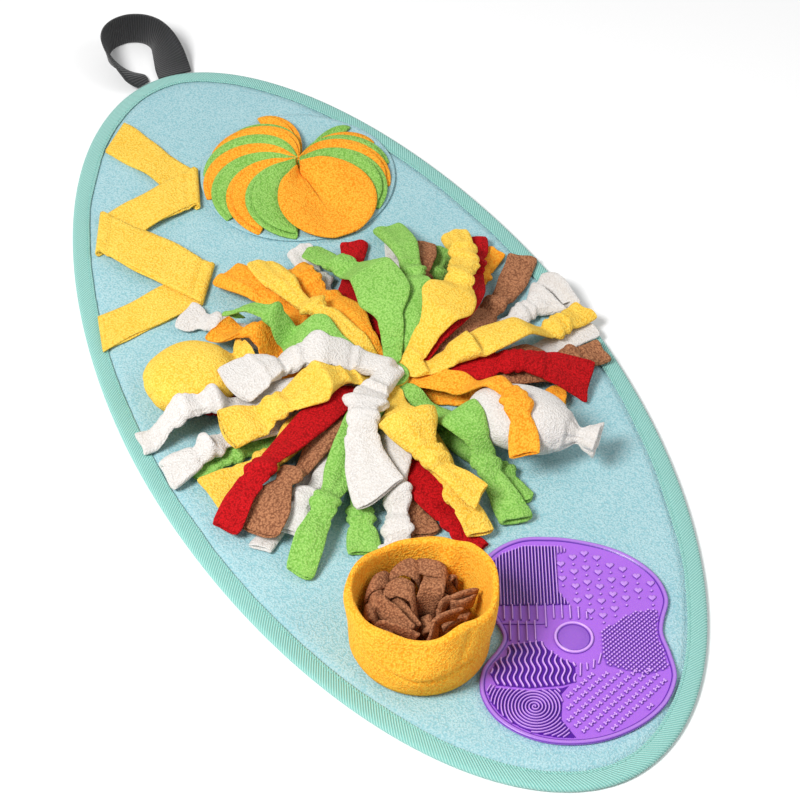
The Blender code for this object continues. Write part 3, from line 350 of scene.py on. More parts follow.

# %% [markdown]
# Tape and webbing are woven, not knitted. Their ribs run at a slant (twill) or straight across
# (webbing), so a second group makes ribs from the piece's own UV, which is in metres along and
# across the tape, with painted shade in the gaps between ribs. Silicone is smooth and a little glossy, with a
# faint skin.


# %% Woven ribs as a node group
def make_rib_group():
    """Ribs of a woven tape. Pitch is in metres, Slant is metres along for each metre across. The second
    output is painted shade for the gaps between the ribs.
    """
    group, start, end = new_group("woven ribs", [("Pitch", 0.0013), ("Slant", 1.0)], ["Height", "Gap shade"])
    split = group.nodes.new("ShaderNodeSeparateXYZ")
    group.links.new(group.nodes.new("ShaderNodeTexCoord").outputs["UV"], split.inputs[0])
    slanted = math_node(group, "MULTIPLY", split.outputs[1], start.outputs["Slant"])
    run = math_node(group, "ADD", split.outputs[0], slanted)
    turns = math_node(group, "DIVIDE", run, start.outputs["Pitch"])
    wave = math_node(group, "SINE", math_node(group, "MULTIPLY", turns, TURN))
    height = math_node(group, "MULTIPLY_ADD", wave, 0.5, 0.5)
    place = group.nodes.new("ShaderNodeTexCoord").outputs["Object"]
    yarn = texture(group, "Noise", place, 1500.0, Detail=2.0)
    rough = math_node(group, "MULTIPLY", yarn.outputs["Fac"], 0.4)
    group.links.new(math_node(group, "ADD", height, rough), end.inputs["Height"])
    group.links.new(math_node(group, "SUBTRACT", 1.0, height), end.inputs["Gap shade"])
    return group


RIBS = make_rib_group()


def make_woven(name, face, deep, pitch, slant, height, roughness):
    material, tree, shader = new_material(name, {"Roughness": roughness, "Sheen Weight": 0.15})
    ribs = place_group(tree, RIBS, {"Pitch": pitch, "Slant": slant})
    # The deep colour is painted shade in the gaps between the ribs.
    paint(tree, shader, ribs["Gap shade"], [(0.15, face), (1.0, deep)])
    bump(tree, shader, ribs["Height"], height)
    return material


TWILL = make_woven("twill_mint", (0.36, 0.68, 0.61), (0.17, 0.46, 0.41), 0.0021, 1.0, 0.0005, 0.8)
WEBBING = make_woven("webbing_black", (0.022, 0.022, 0.024), (0.006, 0.006, 0.007), 0.0019, 0.0, 0.0006, 0.6)


# %% Silicone and thread
PLATE_Z, CREST_Z = 0.0059, 0.0076  # the lick pad's plate and the top of its ribs, in metres
# The pad's colours by height, as shares of the way up from the plate to the top of the ribs: the lilac plate,
# then a deep purple band of painted shade on the floors and at the foot of each rib, and pale crests that are
# a painted highlight.
PAD_COLOURS_AND_PAINTED_LIGHT = [
    (0.012, (0.36, 0.125, 0.66)), (0.028, (0.20, 0.06, 0.50)), (0.05, (0.075, 0.004, 0.29)),
    (0.12, (0.075, 0.004, 0.29)), (0.45, (0.29, 0.11, 0.56)), (1.0, (0.66, 0.38, 0.88)),
]


def make_silicone():
    """Purple silicone: lilac plate, painted shade on the floors between close ribs and at the foot of the
    ribs, painted highlight on the crests.
    """
    material, tree, shader = new_material("silicone_purple", {
        "Roughness": 0.3, "Subsurface Weight": 0.08, "Subsurface Radius": (0.4, 0.2, 1.0),
        "Subsurface Scale": 0.002,
    })
    place = tree.nodes.new("ShaderNodeTexCoord").outputs["Object"]
    split = tree.nodes.new("ShaderNodeSeparateXYZ")
    tree.links.new(place, split.inputs[0])
    # The height picks the painted shade and the painted highlight.
    level = tree.nodes.new("ShaderNodeMapRange")
    set_sockets(level, {"From Min": PLATE_Z, "From Max": CREST_Z})
    tree.links.new(split.outputs[2], level.inputs["Value"])
    paint(tree, shader, level.outputs["Result"], PAD_COLOURS_AND_PAINTED_LIGHT)
    skin = texture(tree, "Noise", place, 900.0, Detail=2.0)
    bump(tree, shader, skin.outputs["Fac"], 0.0001)
    return material


def make_thread(name, face, deep):
    material, tree, shader = new_material("thread_" + name, {"Roughness": 0.7})
    place = tree.nodes.new("ShaderNodeTexCoord").outputs["Object"]
    strands = texture(tree, "Noise", place, 1800.0, Detail=2.0)
    paint(tree, shader, strands.outputs["Fac"], [(0.3, deep), (0.7, face)])
    bump(tree, shader, strands.outputs["Fac"], 0.0002)
    return material


SILICONE = make_silicone()
THREAD = {
    "mint": make_thread("mint", (0.30, 0.62, 0.56), (0.16, 0.42, 0.38)),
    "yellow": make_thread("yellow", (0.80, 0.52, 0.05), (0.55, 0.32, 0.02)),
}
print("woven, silicone and thread are ready")

# %% [markdown]
# ## Camera, light and floor
# The camera stands where the photograph was taken: above the basket's end, looking down the mat.
# The light is one big soft box over the mat with a weaker one opposite, and a pale sky.

# %% Camera
CAMERA_AT = Vector((0.93177, -0.43421, 1.03453))
CAMERA_RIGHT = Vector((0.42967, 0.90282, 0.01718))
CAMERA_UP = Vector((-0.65171, 0.29688, 0.69795))
CAMERA_FORWARD = Vector((-0.62503, 0.31108, -0.71594))
LENS, SENSOR = 99.27, 36.0

camera_data = bpy.data.cameras.new("camera")
camera_data.lens = LENS
camera_data.sensor_width = SENSOR
camera = bpy.data.objects.new("camera", camera_data)
turned = Matrix((CAMERA_RIGHT, CAMERA_UP, -CAMERA_FORWARD)).transposed().to_4x4()
camera.matrix_world = Matrix.Translation(CAMERA_AT) @ turned
bpy.context.scene.collection.objects.link(camera)
bpy.context.scene.camera = camera
bpy.context.scene.view_settings.view_transform = "Standard"


# %% Soft light and a pale floor
def add_area_light(name, at, towards, size, power):
    light = bpy.data.lights.new(name, "AREA")
    light.shape = "DISK"
    light.size = size
    light.energy = power
    obj = bpy.data.objects.new(name, light)
    obj.location = at
    obj.rotation_euler = (Vector(towards) - Vector(at)).to_track_quat("-Z", "Y").to_euler()
    bpy.context.scene.collection.objects.link(obj)


add_area_light("soft_box", (0.35, -1.0, 1.35), (0, 0, 0), 0.6, 31.0)
add_area_light("fill", (0.5, 1.2, 1.1), (0, 0, 0), 1.2, 6.0)

world = bpy.data.worlds.new("pale_sky")
world.use_nodes = True
set_sockets(world.node_tree.nodes["Background"], {"Color": (1.0, 1.0, 1.0, 1.0), "Strength": 0.42})
bpy.context.scene.world = world

FLOOR_HALF = 4.0
FLOOR_Z = -0.0006  # just under the mat

pale = {"Roughness": 0.9, "Base Color": (0.93, 0.93, 0.93, 1.0)}
floor_mesh = bpy.data.meshes.new("floor")
corners = [(x * FLOOR_HALF, y * FLOOR_HALF, 0.0) for x, y in ((-1, -1), (1, -1), (1, 1), (-1, 1))]
floor_mesh.from_pydata(corners, [], [(0, 1, 2, 3)])
floor_mesh.materials.append(new_material("floor_pale", pale)[0])
floor = bpy.data.objects.new("floor", floor_mesh)
floor.location.z = FLOOR_Z
bpy.context.scene.collection.objects.link(floor)
print("camera, two lights and a floor")

# %% [markdown]
# ## The panel
# The panel is one oval of fleece, thin where the tape grips it. It could be a flat disc, but
# real fleece lies in faint swells, so its rings of points carry a low wave and one old fold line.

# %% The oval and its inset
HALF_LENGTH, HALF_WIDTH = 352.0, 163.0
OVAL_POWER, EGG = 1.93, 0.034
RIM_STEPS = 420


def on_outline(angle):
    c, s = math.cos(angle), math.sin(angle)
    x = HALF_LENGTH * math.copysign(abs(c) ** (2.0 / OVAL_POWER), c)
    width = HALF_WIDTH * (1.0 + EGG * x / HALF_LENGTH)
    return np.array((x, width * math.copysign(abs(s) ** (2.0 / OVAL_POWER), s)))


def run_along(points):
    """How far along a line each of its points lies."""
    return np.concatenate([[0.0], np.cumsum(np.linalg.norm(np.diff(points, axis=0), axis=1))])


def even_angles(count):
    """Angles that cut the outline into equal lengths, and its whole length."""
    fine = np.linspace(0.0, TURN, 4001)
    run = run_along([on_outline(angle) for angle in fine])
    return np.interp(np.linspace(0.0, run[-1], count + 1)[:-1], run, fine), run[-1]


def quarter_turn(ways):
    """The ways in the plane, each turned to its left."""
    return np.stack([-ways[..., 1], ways[..., 0]], axis=-1)


def outline_frame(angles):
    """Points of the outline and the way inwards at each."""
    here = np.array([on_outline(angle) for angle in angles])
    along = np.array([on_outline(angle + 0.01) - on_outline(angle - 0.01) for angle in angles])
    return here, unit(quarter_turn(along))


rim_angles, rim_length = even_angles(RIM_STEPS)
rim_points, rim_inwards = outline_frame(rim_angles)
print("round the edge:", round(rim_length), "mm")


# %% The panel
PANEL_LOW, PANEL_TOP = 0.1, 4.0
GRIPPED_LOW, GRIPPED_TOP = 1.6, 2.6  # the panel's rim inside the folded tape
CREASE = ((-268.0, 62.0), (-238.0, 92.0))  # an old fold near the flower
CREASE_DEPTH, CREASE_WIDTH = 0.5, 1.6
# The rings: the share of the way out, or how far in from the outline.
PANEL_SHARES = [0.02, 0.06, *np.linspace(0.1, 1.0, 46)]
PANEL_INSETS = (14.5, 13.4, 12.6, 8.0, 3.0)


def swell(x, y):
    """The faint waves of a cloth that lies on a floor, and its fold line."""
    wave = 0.16 * math.sin(x / 31.0 + 1.0) * math.sin(y / 24.0 + 0.5) - 0.14
    (ax, ay), (bx, by) = CREASE
    length = math.hypot(bx - ax, by - ay)
    along = ((x - ax) * (bx - ax) + (y - ay) * (by - ay)) / length
    off = ((x - ax) * (by - ay) - (y - ay) * (bx - ax)) / length
    fade = smooth_step(along / 8.0) * smooth_step((length - along) / 8.0)
    return wave - CREASE_DEPTH * fade * bell(off, CREASE_WIDTH)


def build_panel():
    rows = [(share, None) for share in PANEL_SHARES] + [(1.0, inset) for inset in PANEL_INSETS]
    grid = np.zeros((len(rows), RIM_STEPS, 3))
    thick = np.zeros((len(rows), RIM_STEPS))
    for i, (share, inset) in enumerate(rows):
        edge = rim_points + rim_inwards * (16.0 if inset is None else inset)
        grid[i, :, :2] = edge * share
        for j in range(RIM_STEPS):
            top, low = PANEL_TOP + swell(*grid[i, j, :2]), PANEL_LOW
            # Towards the tape the cloth is pressed down, in two steps, to the thin rim that the tape grips.
            if inset is not None and inset < 13.0:
                top, low = GRIPPED_TOP, GRIPPED_LOW
            elif inset is not None:
                top = 3.4 if inset > 14.0 else 3.0
            grid[i, j, 2] = (top + low) * 0.5
            thick[i, j] = top - low
    return add_piece("panel_fleece", cloth_mesh(grid, thick, closed=True), FLEECE["pale_blue"], ["mat_panel"])


panel = build_panel()
print("panel:", len(panel.data.polygons), "faces")

# %% [markdown]
# ## The binding
# Twill tape is folded over the edge and sewn through. Its section is a flattened C, drawn once
# and swept round the oval. The stitch line is real geometry: small dashes that press into the tape.


# %% Stitches along any line
# A stitch from end to end: share of its length, its size, and how far it stands out.
SPINDLE = [
    (-0.5, 0.25, -0.45), (-0.32, 0.9, 0.35), (0.0, 1.0, 0.6), (0.32, 0.9, 0.35), (0.5, 0.25, -0.45),
]
THREAD_SIDES = 6


def on_run(at, run, rows):
    """The rows' values at one place along them."""
    return np.array([np.interp(at, run, rows[:, c]) for c in range(rows.shape[1])])


def stitch_mesh(line, normals, pitch, length, width, proud):
    """Dashes of thread along a line of points, each a small six-sided spindle."""
    line, normals = np.asarray(line, float), np.asarray(normals, float)
    run = run_along(line)
    parts = []
    for k in range(int(run[-1] / pitch)):
        centre = (k + 0.5) * pitch
        rings = []
        for share, size, lift in SPINDLE:
            at = centre + share * length
            point, ahead = on_run(at, run, line), on_run(at + 0.5, run, line)
            normal = unit(on_run(at, run, normals))
            side = unit(np.cross(normal, ahead - point + 1e-9))
            ring = []
            for corner in range(THREAD_SIDES):
                turn = TURN * corner / THREAD_SIDES
                out = side * math.cos(turn) * width * 0.5 + normal * math.sin(turn) * width * 0.35
                ring.append(point + out * size + normal * proud * lift)
            rings.append(ring)
        parts.append(tube_mesh(rings))
    return join_meshes(parts)


def stitch_flat(line, *sizes):
    """Stitches on a piece that lies flat."""
    return stitch_mesh(line, [(0.0, 0.0, 1.0)] * len(line), *sizes)


print("a stitch has", len(SPINDLE) * THREAD_SIDES + 2, "points")


# %% The tape
STITCH_INSET, STITCH_Z = 10.4, 4.02
TAPE_THICK = 0.9
# The tape's middle line: how far in from the outline, and how high.
TAPE_SECTION = [
    (11.9, 0.55), (9.0, 0.5), (6.0, 0.5), (3.0, 0.5), (1.5, 0.65), (0.75, 1.1), (0.5, 1.8),
    (0.55, 2.5), (0.9, 3.15), (1.7, 3.6), (3.0, 3.78), (5.0, 3.82), (7.0, 3.8), (8.6, 3.76),
    (9.6, 3.62), (10.4, 3.5), (11.1, 3.62), (11.9, 3.72),
]


def tape_grid():
    """The section swept round the oval. On top, its inner edge wavers and puckers a little."""
    rng = random.Random(11)
    waver = [sum(rng.uniform(-1, 1) for _ in range(3)) / 3 for _ in range(RIM_STEPS)]
    waver = np.convolve(np.tile(waver, 3), np.ones(9) / 9, "same")[RIM_STEPS : 2 * RIM_STEPS]
    grid = np.zeros((len(TAPE_SECTION), RIM_STEPS, 3))
    for i, (inset, z) in enumerate(TAPE_SECTION):
        inner = smooth_step((inset - 7.0) / 4.0)
        on_top = 1.0 if z > 2.0 else 0.0
        for j in range(RIM_STEPS):
            shift = inner * on_top * waver[j] * 2.2
            pucker = on_top * inner * 0.12 * math.sin(j * 2.1)
            grid[i, j, :2] = rim_points[j] + rim_inwards[j] * (inset + shift)
            grid[i, j, 2] = z + pucker
    return grid


def build_binding():
    shape = cloth_mesh(tape_grid(), TAPE_THICK, closed=True)
    across = run_along(TAPE_SECTION)
    pitch = rim_length / RIM_STEPS
    # The two faces of the tape, and then the middle row of each cut edge.
    rows = list(range(len(TAPE_SECTION)))
    uvs = [(j * pitch * MM, across[i] * MM) for i in rows + rows + [0, rows[-1]] for j in range(RIM_STEPS)]
    tape = add_piece("binding_tape", shape, TWILL, ["edge_binding"], uvs, rim_length * MM)
    line = [(*(rim_points[j] + rim_inwards[j] * STITCH_INSET), STITCH_Z) for j in range(RIM_STEPS)]
    stitches = stitch_flat(line + line[:1], 2.9, 2.2, 0.7, 0.25)
    return tape, add_piece("binding_stitches", stitches, THREAD["mint"])


tape, tape_seam = build_binding()
print("tape:", len(tape.data.polygons), "faces, stitches:", len(tape_seam.data.polygons), "faces")

# %% [markdown]
# ## The webbing loop
# A short length of webbing is sewn under the far edge and stands on its side round the bend. Its
# middle line is known, so it is a ribbon: a smooth curve through those points, and a tilt at each.

# %% The loop
STRAP_WIDTH, STRAP_THICK = 25.0, 1.6
STRAP_MIDDLE = (-380.0, -12.0)  # a spot inside the loop, which tells its outer side
# Its first rows are gathered, where it runs in under the tape.
GATHERED_ROWS, GATHERED_WIDTH = 6, 14.0
# Where the loop's middle line runs, and how far it is turned up on edge.
STRAP_ROUTE = [
    (-350.5, -19.5, 14), (-357, -24, 26), (-367, -30, 48), (-379, -34, 68), (-391, -34, 80),
    (-401, -29, 86), (-407, -20, 88), (-408, -9, 88), (-403, 1, 84), (-394, 7, 72), (-383, 9, 50),
    (-371, 9, 28), (-361, 8, 12), (-352.6, 7, 4),
]


def between(a, b, c, d, t):
    """The smooth curve through four values in a row, at share t of the way from b to c."""
    return 0.5 * (2 * b + (c - a) * t + (2 * a - 5 * b + 4 * c - d) * t**2 + (3 * b - 3 * c + d - a) * t**3)


def smooth_curve(rows, count):
    """A Catmull-Rom curve through rows of numbers, at count evenly spread places."""
    rows = np.asarray(rows, float)
    made = []
    for place in np.linspace(0.0, len(rows) - 1.0, count):
        i = min(int(place), len(rows) - 2)
        near = [rows[min(max(i + k, 0), len(rows) - 1)] for k in (-1, 0, 1, 2)]
        made.append(between(*near, place - i))
    return np.array(made)


def build_strap():
    route = smooth_curve(STRAP_ROUTE, 90)
    columns = 11
    grid = np.zeros((len(route), columns, 3))
    ways = unit(np.gradient(route[:, :2], axis=0))
    for i, (x, y, tilt) in enumerate(route):
        outwards = np.array((ways[i, 1], -ways[i, 0], 0.0))
        if outwards @ np.array((x - STRAP_MIDDLE[0], y - STRAP_MIDDLE[1], 0.0)) < 0.0:
            outwards = -outwards
        turn = math.radians(tilt)
        width = STRAP_WIDTH
        if i < GATHERED_ROWS:
            width = GATHERED_WIDTH + (STRAP_WIDTH - GATHERED_WIDTH) * i / GATHERED_ROWS
        across = outwards * math.cos(turn) + np.array((0.0, 0.0, math.sin(turn)))
        low = 0.5 * width * abs(across[2]) + STRAP_THICK * 0.5 * math.cos(turn) + 0.5
        for j in range(columns):
            share = j / (columns - 1) - 0.5
            grid[i, j] = np.array((x, y, low)) + across * width * share
    shape = cloth_mesh(grid, STRAP_THICK)
    run = run_along(route[:, :2])
    face_uvs = [(along * MM, STRAP_WIDTH * j / columns * MM) for along in run for j in range(columns)]
    edge_uvs = [(0.0, 0.0)] * (len(shape[0]) - 2 * len(face_uvs))
    return add_piece("webbing_loop", shape, WEBBING, ["anchor_strap"], face_uvs * 2 + edge_uvs)


strap = build_strap()
print("loop:", len(strap.data.polygons), "faces")

# %% [markdown]
# ## The zigzag strip
# One long strip of doubled fleece is folded back at each end of its runs, and each fold is sewn down
# a finger's width in. The grid follows the strip along its length, so a fold is only a few rows
# that turn over, and the two layers are the same grid pushed out to both sides.


# %% Two layers from one grid
def two_layers(grid, layer, apart, stray):
    """A doubled cloth. Each layer's long edges stray from the grid's in their own way, so both show."""
    normal = unit(np.cross(*grid_slopes(grid)))
    middle = grid.mean(axis=1, keepdims=True)
    out = unit(grid - middle) * (np.abs(np.linspace(-1.0, 1.0, grid.shape[1]))[None, :, None] ** 2)
    run = np.arange(len(grid))[:, None, None]
    parts = []
    for side, phase in ((-1.0, 0.0), (1.0, 2.2)):
        moved = grid + normal * side * (layer + apart) * 0.5
        sway = np.sin(run * 0.16 + phase) + 0.5 * np.sin(run * 0.37 + 2.0 * phase) + 0.3 * side
        parts.append(cloth_mesh(moved + out * stray * sway, layer))
    return join_meshes(parts)


# %% The strip
ZIGZAG_THICK, ZIGZAG_LOW = 2.4, 4.3
ZIGZAG_HALF, ZIGZAG_LAYER = ZIGZAG_THICK * 0.5, 1.15
ZIGZAG_HIGH = ZIGZAG_LOW + ZIGZAG_THICK + 1.2
# The cross edges of the strip, from one free end over three folds to the other.
ZIGZAG_EDGES = [
    ((-309, -50), (-285, -73)), ((-236, -24), (-199, -37)), ((-217, -99), (-180, -116)),
    ((-137, -51), (-104, -73)), ((-121, -139), (-89, -147)),
]
# The height of the underside at the start and end of each run, and how far it arches up.
ZIGZAG_RUNS = [
    (ZIGZAG_LOW, ZIGZAG_LOW, 1.2), (ZIGZAG_HIGH, ZIGZAG_LOW, 0.6),
    (ZIGZAG_HIGH, ZIGZAG_HIGH, 0.9), (ZIGZAG_LOW, ZIGZAG_LOW, 0.4),
]
print("runs:", len(ZIGZAG_RUNS))

# %% Rows across the zigzag
SEWN_AT = 6.5  # how far in from a fold it is sewn down
SEAM_DEPTH, SEAM_SPREAD = 1.15, 1.5
CROSSWISE = np.linspace(0.0, 1.0, 15)


def seam_dent(index, from_start, from_end):
    """How much the stitches pull a run in, from 0 to 1: near its start on a fold, and near one end."""
    dent = 0.0
    if index > 0 and ZIGZAG_RUNS[index][0] > ZIGZAG_LOW:
        dent = bell(from_start - SEWN_AT, SEAM_SPREAD)
    if index == 2:
        dent = max(dent, bell(from_end - SEWN_AT, SEAM_SPREAD))
    return dent


def zigzag_row(index, cut, left, right, z):
    """A row across a run. Its ends ruffle up and wobble a little, as a cut edge does."""
    side = (right - left) / np.linalg.norm(right - left)
    ends = smooth_step(min(cut, 1.0 - cut) / 0.1)
    row = []
    for share in CROSSWISE:
        ruffle = 0.5 * abs(2.0 * share - 1.0) ** 3 * (math.sin(cut * 9.0 + index + 3.0 * share) + 0.4)
        phase = 2.0 if share > 0.5 else 0.0
        wobble = 0.7 * math.sin(cut * 7.0 + 1.7 * index + phase) * (2.0 * share - 1.0)
        row.append((*(left + (right - left) * share + side * wobble), z + ruffle * ends))
    return row


def zigzag_fold(index, edges, middles):
    """The rows that turn over between a run and the next."""
    end_z, next_z = ZIGZAG_RUNS[index][1], ZIGZAG_RUNS[index + 1][0]
    came, here, goes = middles[index : index + 3]
    out = unit(unit(here - came) + unit(here - goes))
    left, right = edges[index + 1]
    rows = []
    for turn in np.linspace(0.0, math.pi, 9)[1:-1]:
        z = (end_z + next_z) * 0.5 - (next_z - end_z) * 0.5 * math.cos(turn) + ZIGZAG_HALF
        bulge = out * math.sin(turn) * (ZIGZAG_HALF + 0.9)
        rows.append([(*(left + (right - left) * share + bulge), z) for share in CROSSWISE])
    return rows


print("a row has", len(CROSSWISE), "points")


# %% Fold and sew the strip
def zigzag_rows():
    """All rows along the strip, and one row for each of its seams."""
    edges = [(np.array(left, float), np.array(right, float)) for left, right in ZIGZAG_EDGES]
    middles = [(left + right) * 0.5 for left, right in edges]
    rows, seams = [], {}
    for index, (start_z, end_z, arch) in enumerate(ZIGZAG_RUNS):
        (left_a, right_a), (left_b, right_b) = edges[index], edges[index + 1]
        length = np.linalg.norm(middles[index + 1] - middles[index])
        for cut in np.linspace(0.0, 1.0, 41):
            left, right = left_a + (left_b - left_a) * cut, right_a + (right_b - right_a) * cut
            low = start_z + (end_z - start_z) * smooth_step((cut - 0.3) / 0.4)
            low += arch * math.sin(math.pi * smooth_step((cut - 0.15) / 0.7)) ** 2
            dent = seam_dent(index, cut * length, (1.0 - cut) * length)
            rows.append(zigzag_row(index, cut, left, right, low + ZIGZAG_HALF - SEAM_DEPTH * dent))
            if dent > 0.93:
                seams.setdefault((index, cut > 0.5), rows[-1])
        if index < len(ZIGZAG_RUNS) - 1:
            rows += zigzag_fold(index, edges, middles)
    return np.array(rows), list(seams.values())


def build_zigzag():
    rows, seams = zigzag_rows()
    layers = two_layers(rows, ZIGZAG_LAYER, 0.15, 0.75)
    strip = add_piece("zigzag_fleece", layers, FLEECE["yellow"], ["zigzag_strip"])
    lines = [[(x, y, z + ZIGZAG_HALF + 0.15) for x, y, z in row[1:-1]] for row in seams]
    stitches = join_meshes([stitch_flat(line, 2.7, 2.1, 0.6, 0.1) for line in lines])
    return strip, add_piece("zigzag_stitches", stitches, THREAD["yellow"])


zigzag, zigzag_seam = build_zigzag()
print("zigzag:", len(zigzag.data.polygons), "faces")

# %% [markdown]
# ## The flower
# Each petal is a circle of fleece folded in half, and its point is sewn to the middle of a round
# patch, so the petals fan up over one another. In plan a petal is drawn in polar coordinates from
# the flower's middle: one grid runs in from the free edge, round the fold and out again.

# %% The patch under the flower
FLOWER_AT = (-201.0, 43.0)
FLOWER_RADIUS = 70.0
BASE_LOW, BASE_THICK = 4.3, 1.9
BASE_STEPS = 144


def polar(at, radius, turn, z):
    """The point at that distance and direction from at."""
    return at[0] + radius * math.cos(turn), at[1] + radius * math.sin(turn), z


def build_flower_base():
    rings = np.concatenate([[0.3], np.linspace(2.0, FLOWER_RADIUS, 24)])
    grid = np.zeros((len(rings), BASE_STEPS, 3))
    for i, radius in enumerate(rings):
        edge = smooth_step((radius - 55.0) / 15.0)
        for j in range(BASE_STEPS):
            turn = TURN * j / BASE_STEPS
            out = radius + edge * 0.5 * math.sin(5 * turn)
            lift = edge * 0.35 * math.sin(7 * turn + 1.0)
            grid[i, j] = polar(FLOWER_AT, out, turn, BASE_LOW + 1.1 + max(lift, -0.1))
    shape = cloth_mesh(grid, BASE_THICK, closed=True)
    return add_piece("flower_patch", shape, FLEECE["pale_blue"], ["flower_base"])


flower_patch = build_flower_base()
print("patch:", len(flower_patch.data.polygons), "faces")

# %% The folded petals
# Colour, direction of the fold in degrees, side of the round edge, columns wide, length.
PETALS = [
    ("green", 121, 1, 3, 66), ("orange", 181, -1, 5, 71), ("orange", 99, 1, 6, 66),
    ("green", 203, -1, 8, 66), ("green", 77, 1, 9, 67), ("orange", 225, -1, 11, 67),
    ("orange", 55, 1, 11, 67), ("green", 247, -1, 11, 68), ("green", 33, 1, 11, 69),
    ("orange", 269, -1, 11, 70), ("green", 291, -1, 11, 71), ("orange", 313, -1, 11, 71),
    ("green", 335, -1, 11, 70),
]
PETAL_COLUMN = 22.0 / 3.0  # degrees
PETAL_RISE = 3.9 / 22.0  # how much higher a petal lies with each degree from its fold
PETAL_LAYER, PETAL_INNER = 1.2, 2.0
PETAL_FULL = 0.7  # below 1, the round edge is fuller than a circle's
PETAL_SET_BACK = 3.4  # the upper layer of a petal is cut this much shorter
PETAL_NARROWER = 7.5  # and it ends this many degrees before the lower one
FLOWER_LOW = BASE_LOW + 2.0 + 0.3


def petal_radius(away, reach, length):
    share = min(abs(away) / reach, 1.0)
    return max(length * math.cos(0.5 * math.pi * share) ** PETAL_FULL, PETAL_INNER + 1.5)


def flower_place(angle, radius, z):
    return np.array(polar(FLOWER_AT, radius, math.radians(angle), z))


def petal_grid(index, petal):
    """Rows from the under layer's free edge, round the fold, to the upper layer's free edge."""
    _, fold, side, width, length = petal
    reach = width * PETAL_COLUMN
    # Columns crowd towards the free edge, where the outline turns fastest.
    aways = reach * np.sin(np.linspace(0.0, 0.5 * math.pi, 4 * width + 4))
    shares = np.linspace(0.0, 1.0, 22)
    rows = []

    def row(away, level, swing=0.0, lift=0.0, shorter=0.0, narrower=0.0):
        radius = max(petal_radius(away, reach - narrower, length) - shorter, PETAL_INNER + 1.5)
        points = []
        for share in shares:
            r = PETAL_INNER + (radius - PETAL_INNER) * share
            z = FLOWER_LOW + PETAL_RISE * away + level + lift * share * (1.0 - 0.3 * share)
            z += 0.14 * shorter * smooth_step((share - 0.8) / 0.2)
            point = flower_place(fold + side * away, r, z)
            turn = math.radians(fold + side * away)
            tangent = np.array((-math.sin(turn), math.cos(turn), 0.0)) * side
            points.append(point - tangent * swing)
        return points

    for away in aways[::-1]:
        rows.append(row(away, 0.6))
    for turn in np.linspace(0.0, math.pi, 7)[1:-1]:
        back = PETAL_SET_BACK * turn / math.pi
        rows.append(row(0.0, 1.6 - 1.0 * math.cos(turn), swing=0.9 * math.sin(turn), shorter=back))
    for away in aways * (1.0 - PETAL_NARROWER / reach):
        puff = 0.5 * math.sin(math.pi * min(away / reach, 1.0)) + 0.2 * math.sin(away * 0.21 + index)
        level = 2.6 - 0.4 * smooth_step((away - reach + 20.0) / 12.0)
        rows.append(row(away, level, lift=max(puff, 0.0), shorter=PETAL_SET_BACK, narrower=PETAL_NARROWER))
    return np.array(rows)


def grid_area(grid):
    """The area of a grid's middle, in square metres."""
    a, b, c, d = grid[:-1, :-1], grid[1:, :-1], grid[1:, 1:], grid[:-1, 1:]
    return 0.5 * np.linalg.norm(np.cross(c - a, d - b), axis=-1).sum() * 1e-6


petals = []
for index, petal in enumerate(PETALS):
    colour, length = petal[0], petal[-1]
    name = f"petal_{index + 1:02}_{colour}"
    grid = petal_grid(index, petal)
    piece = add_piece(name + "_cloth", cloth_mesh(grid, PETAL_LAYER), FLEECE[colour], [name])
    petals.append(piece)
print("petals:", len(petals), "with", sum(len(p.data.polygons) for p in petals), "faces")

# %% [markdown]
# The last petal lies open over both fans. A valley runs down its middle and its left flap is
# lifted, as in a palm leaf, so its two sides rise away from the valley.

# %% The open petal
VALLEY = (-3.0, 11.0)
TOP_COLUMNS = (7, 9)
TOP_LENGTH, TOP_THICK = 75.0, 2.0
TOP_LOW = FLOWER_LOW + 0.3 + 1.1


def top_steps(centre):
    """(direction, how far from the valley, columns of its flap) of each row, from left to right."""
    steps = []
    for edge, side, count in zip(VALLEY, (-1, 1), TOP_COLUMNS):
        wing = [(centre + (edge - centre) * t, 0.0, count) for t in (0.15, 0.3, 0.5, 0.75)]
        aways = np.linspace(0.0, PETAL_COLUMN * count, 4 * count)
        wing += [(edge + side * away, away, count) for away in aways]
        steps = (wing[::-1] + [(centre, 0.0, count)] + steps) if side < 0 else (steps + wing)
    return steps


def top_height(angle, away, share, centre):
    """The height at a spot of the open petal: a dome, a left lip, the valley and a hollow on the right."""
    fill = smooth_step((away + 4.0) / 26.0)
    dome = 1.8 * math.sin(math.pi * share) * fill + 0.5 * math.sin(3.0 * share + angle * 0.05) * fill
    # The left flap stands over the valley as a lip near the middle, and the lip runs out further on.
    lip = 3.2 * smooth_step((centre + 1.0 - angle) / 4.0) * bell(angle - centre + 8.0, 14.0)
    lip *= smooth_step(share / 0.15) * smooth_step((0.62 - share) / 0.3)
    # The valley is a crease near the middle, and opens into a soft dent further out.
    dent = -0.5 * (1.0 - fill) * math.sin(math.pi * share)
    bowl = 0.0
    if angle >= centre:
        bowl = -0.9 * math.exp(-(((angle - centre - 14.0) / 16.0) ** 2) - ((share - 0.62) / 0.2) ** 2)
    return TOP_LOW + PETAL_RISE * away + dome + dent + bowl + lip


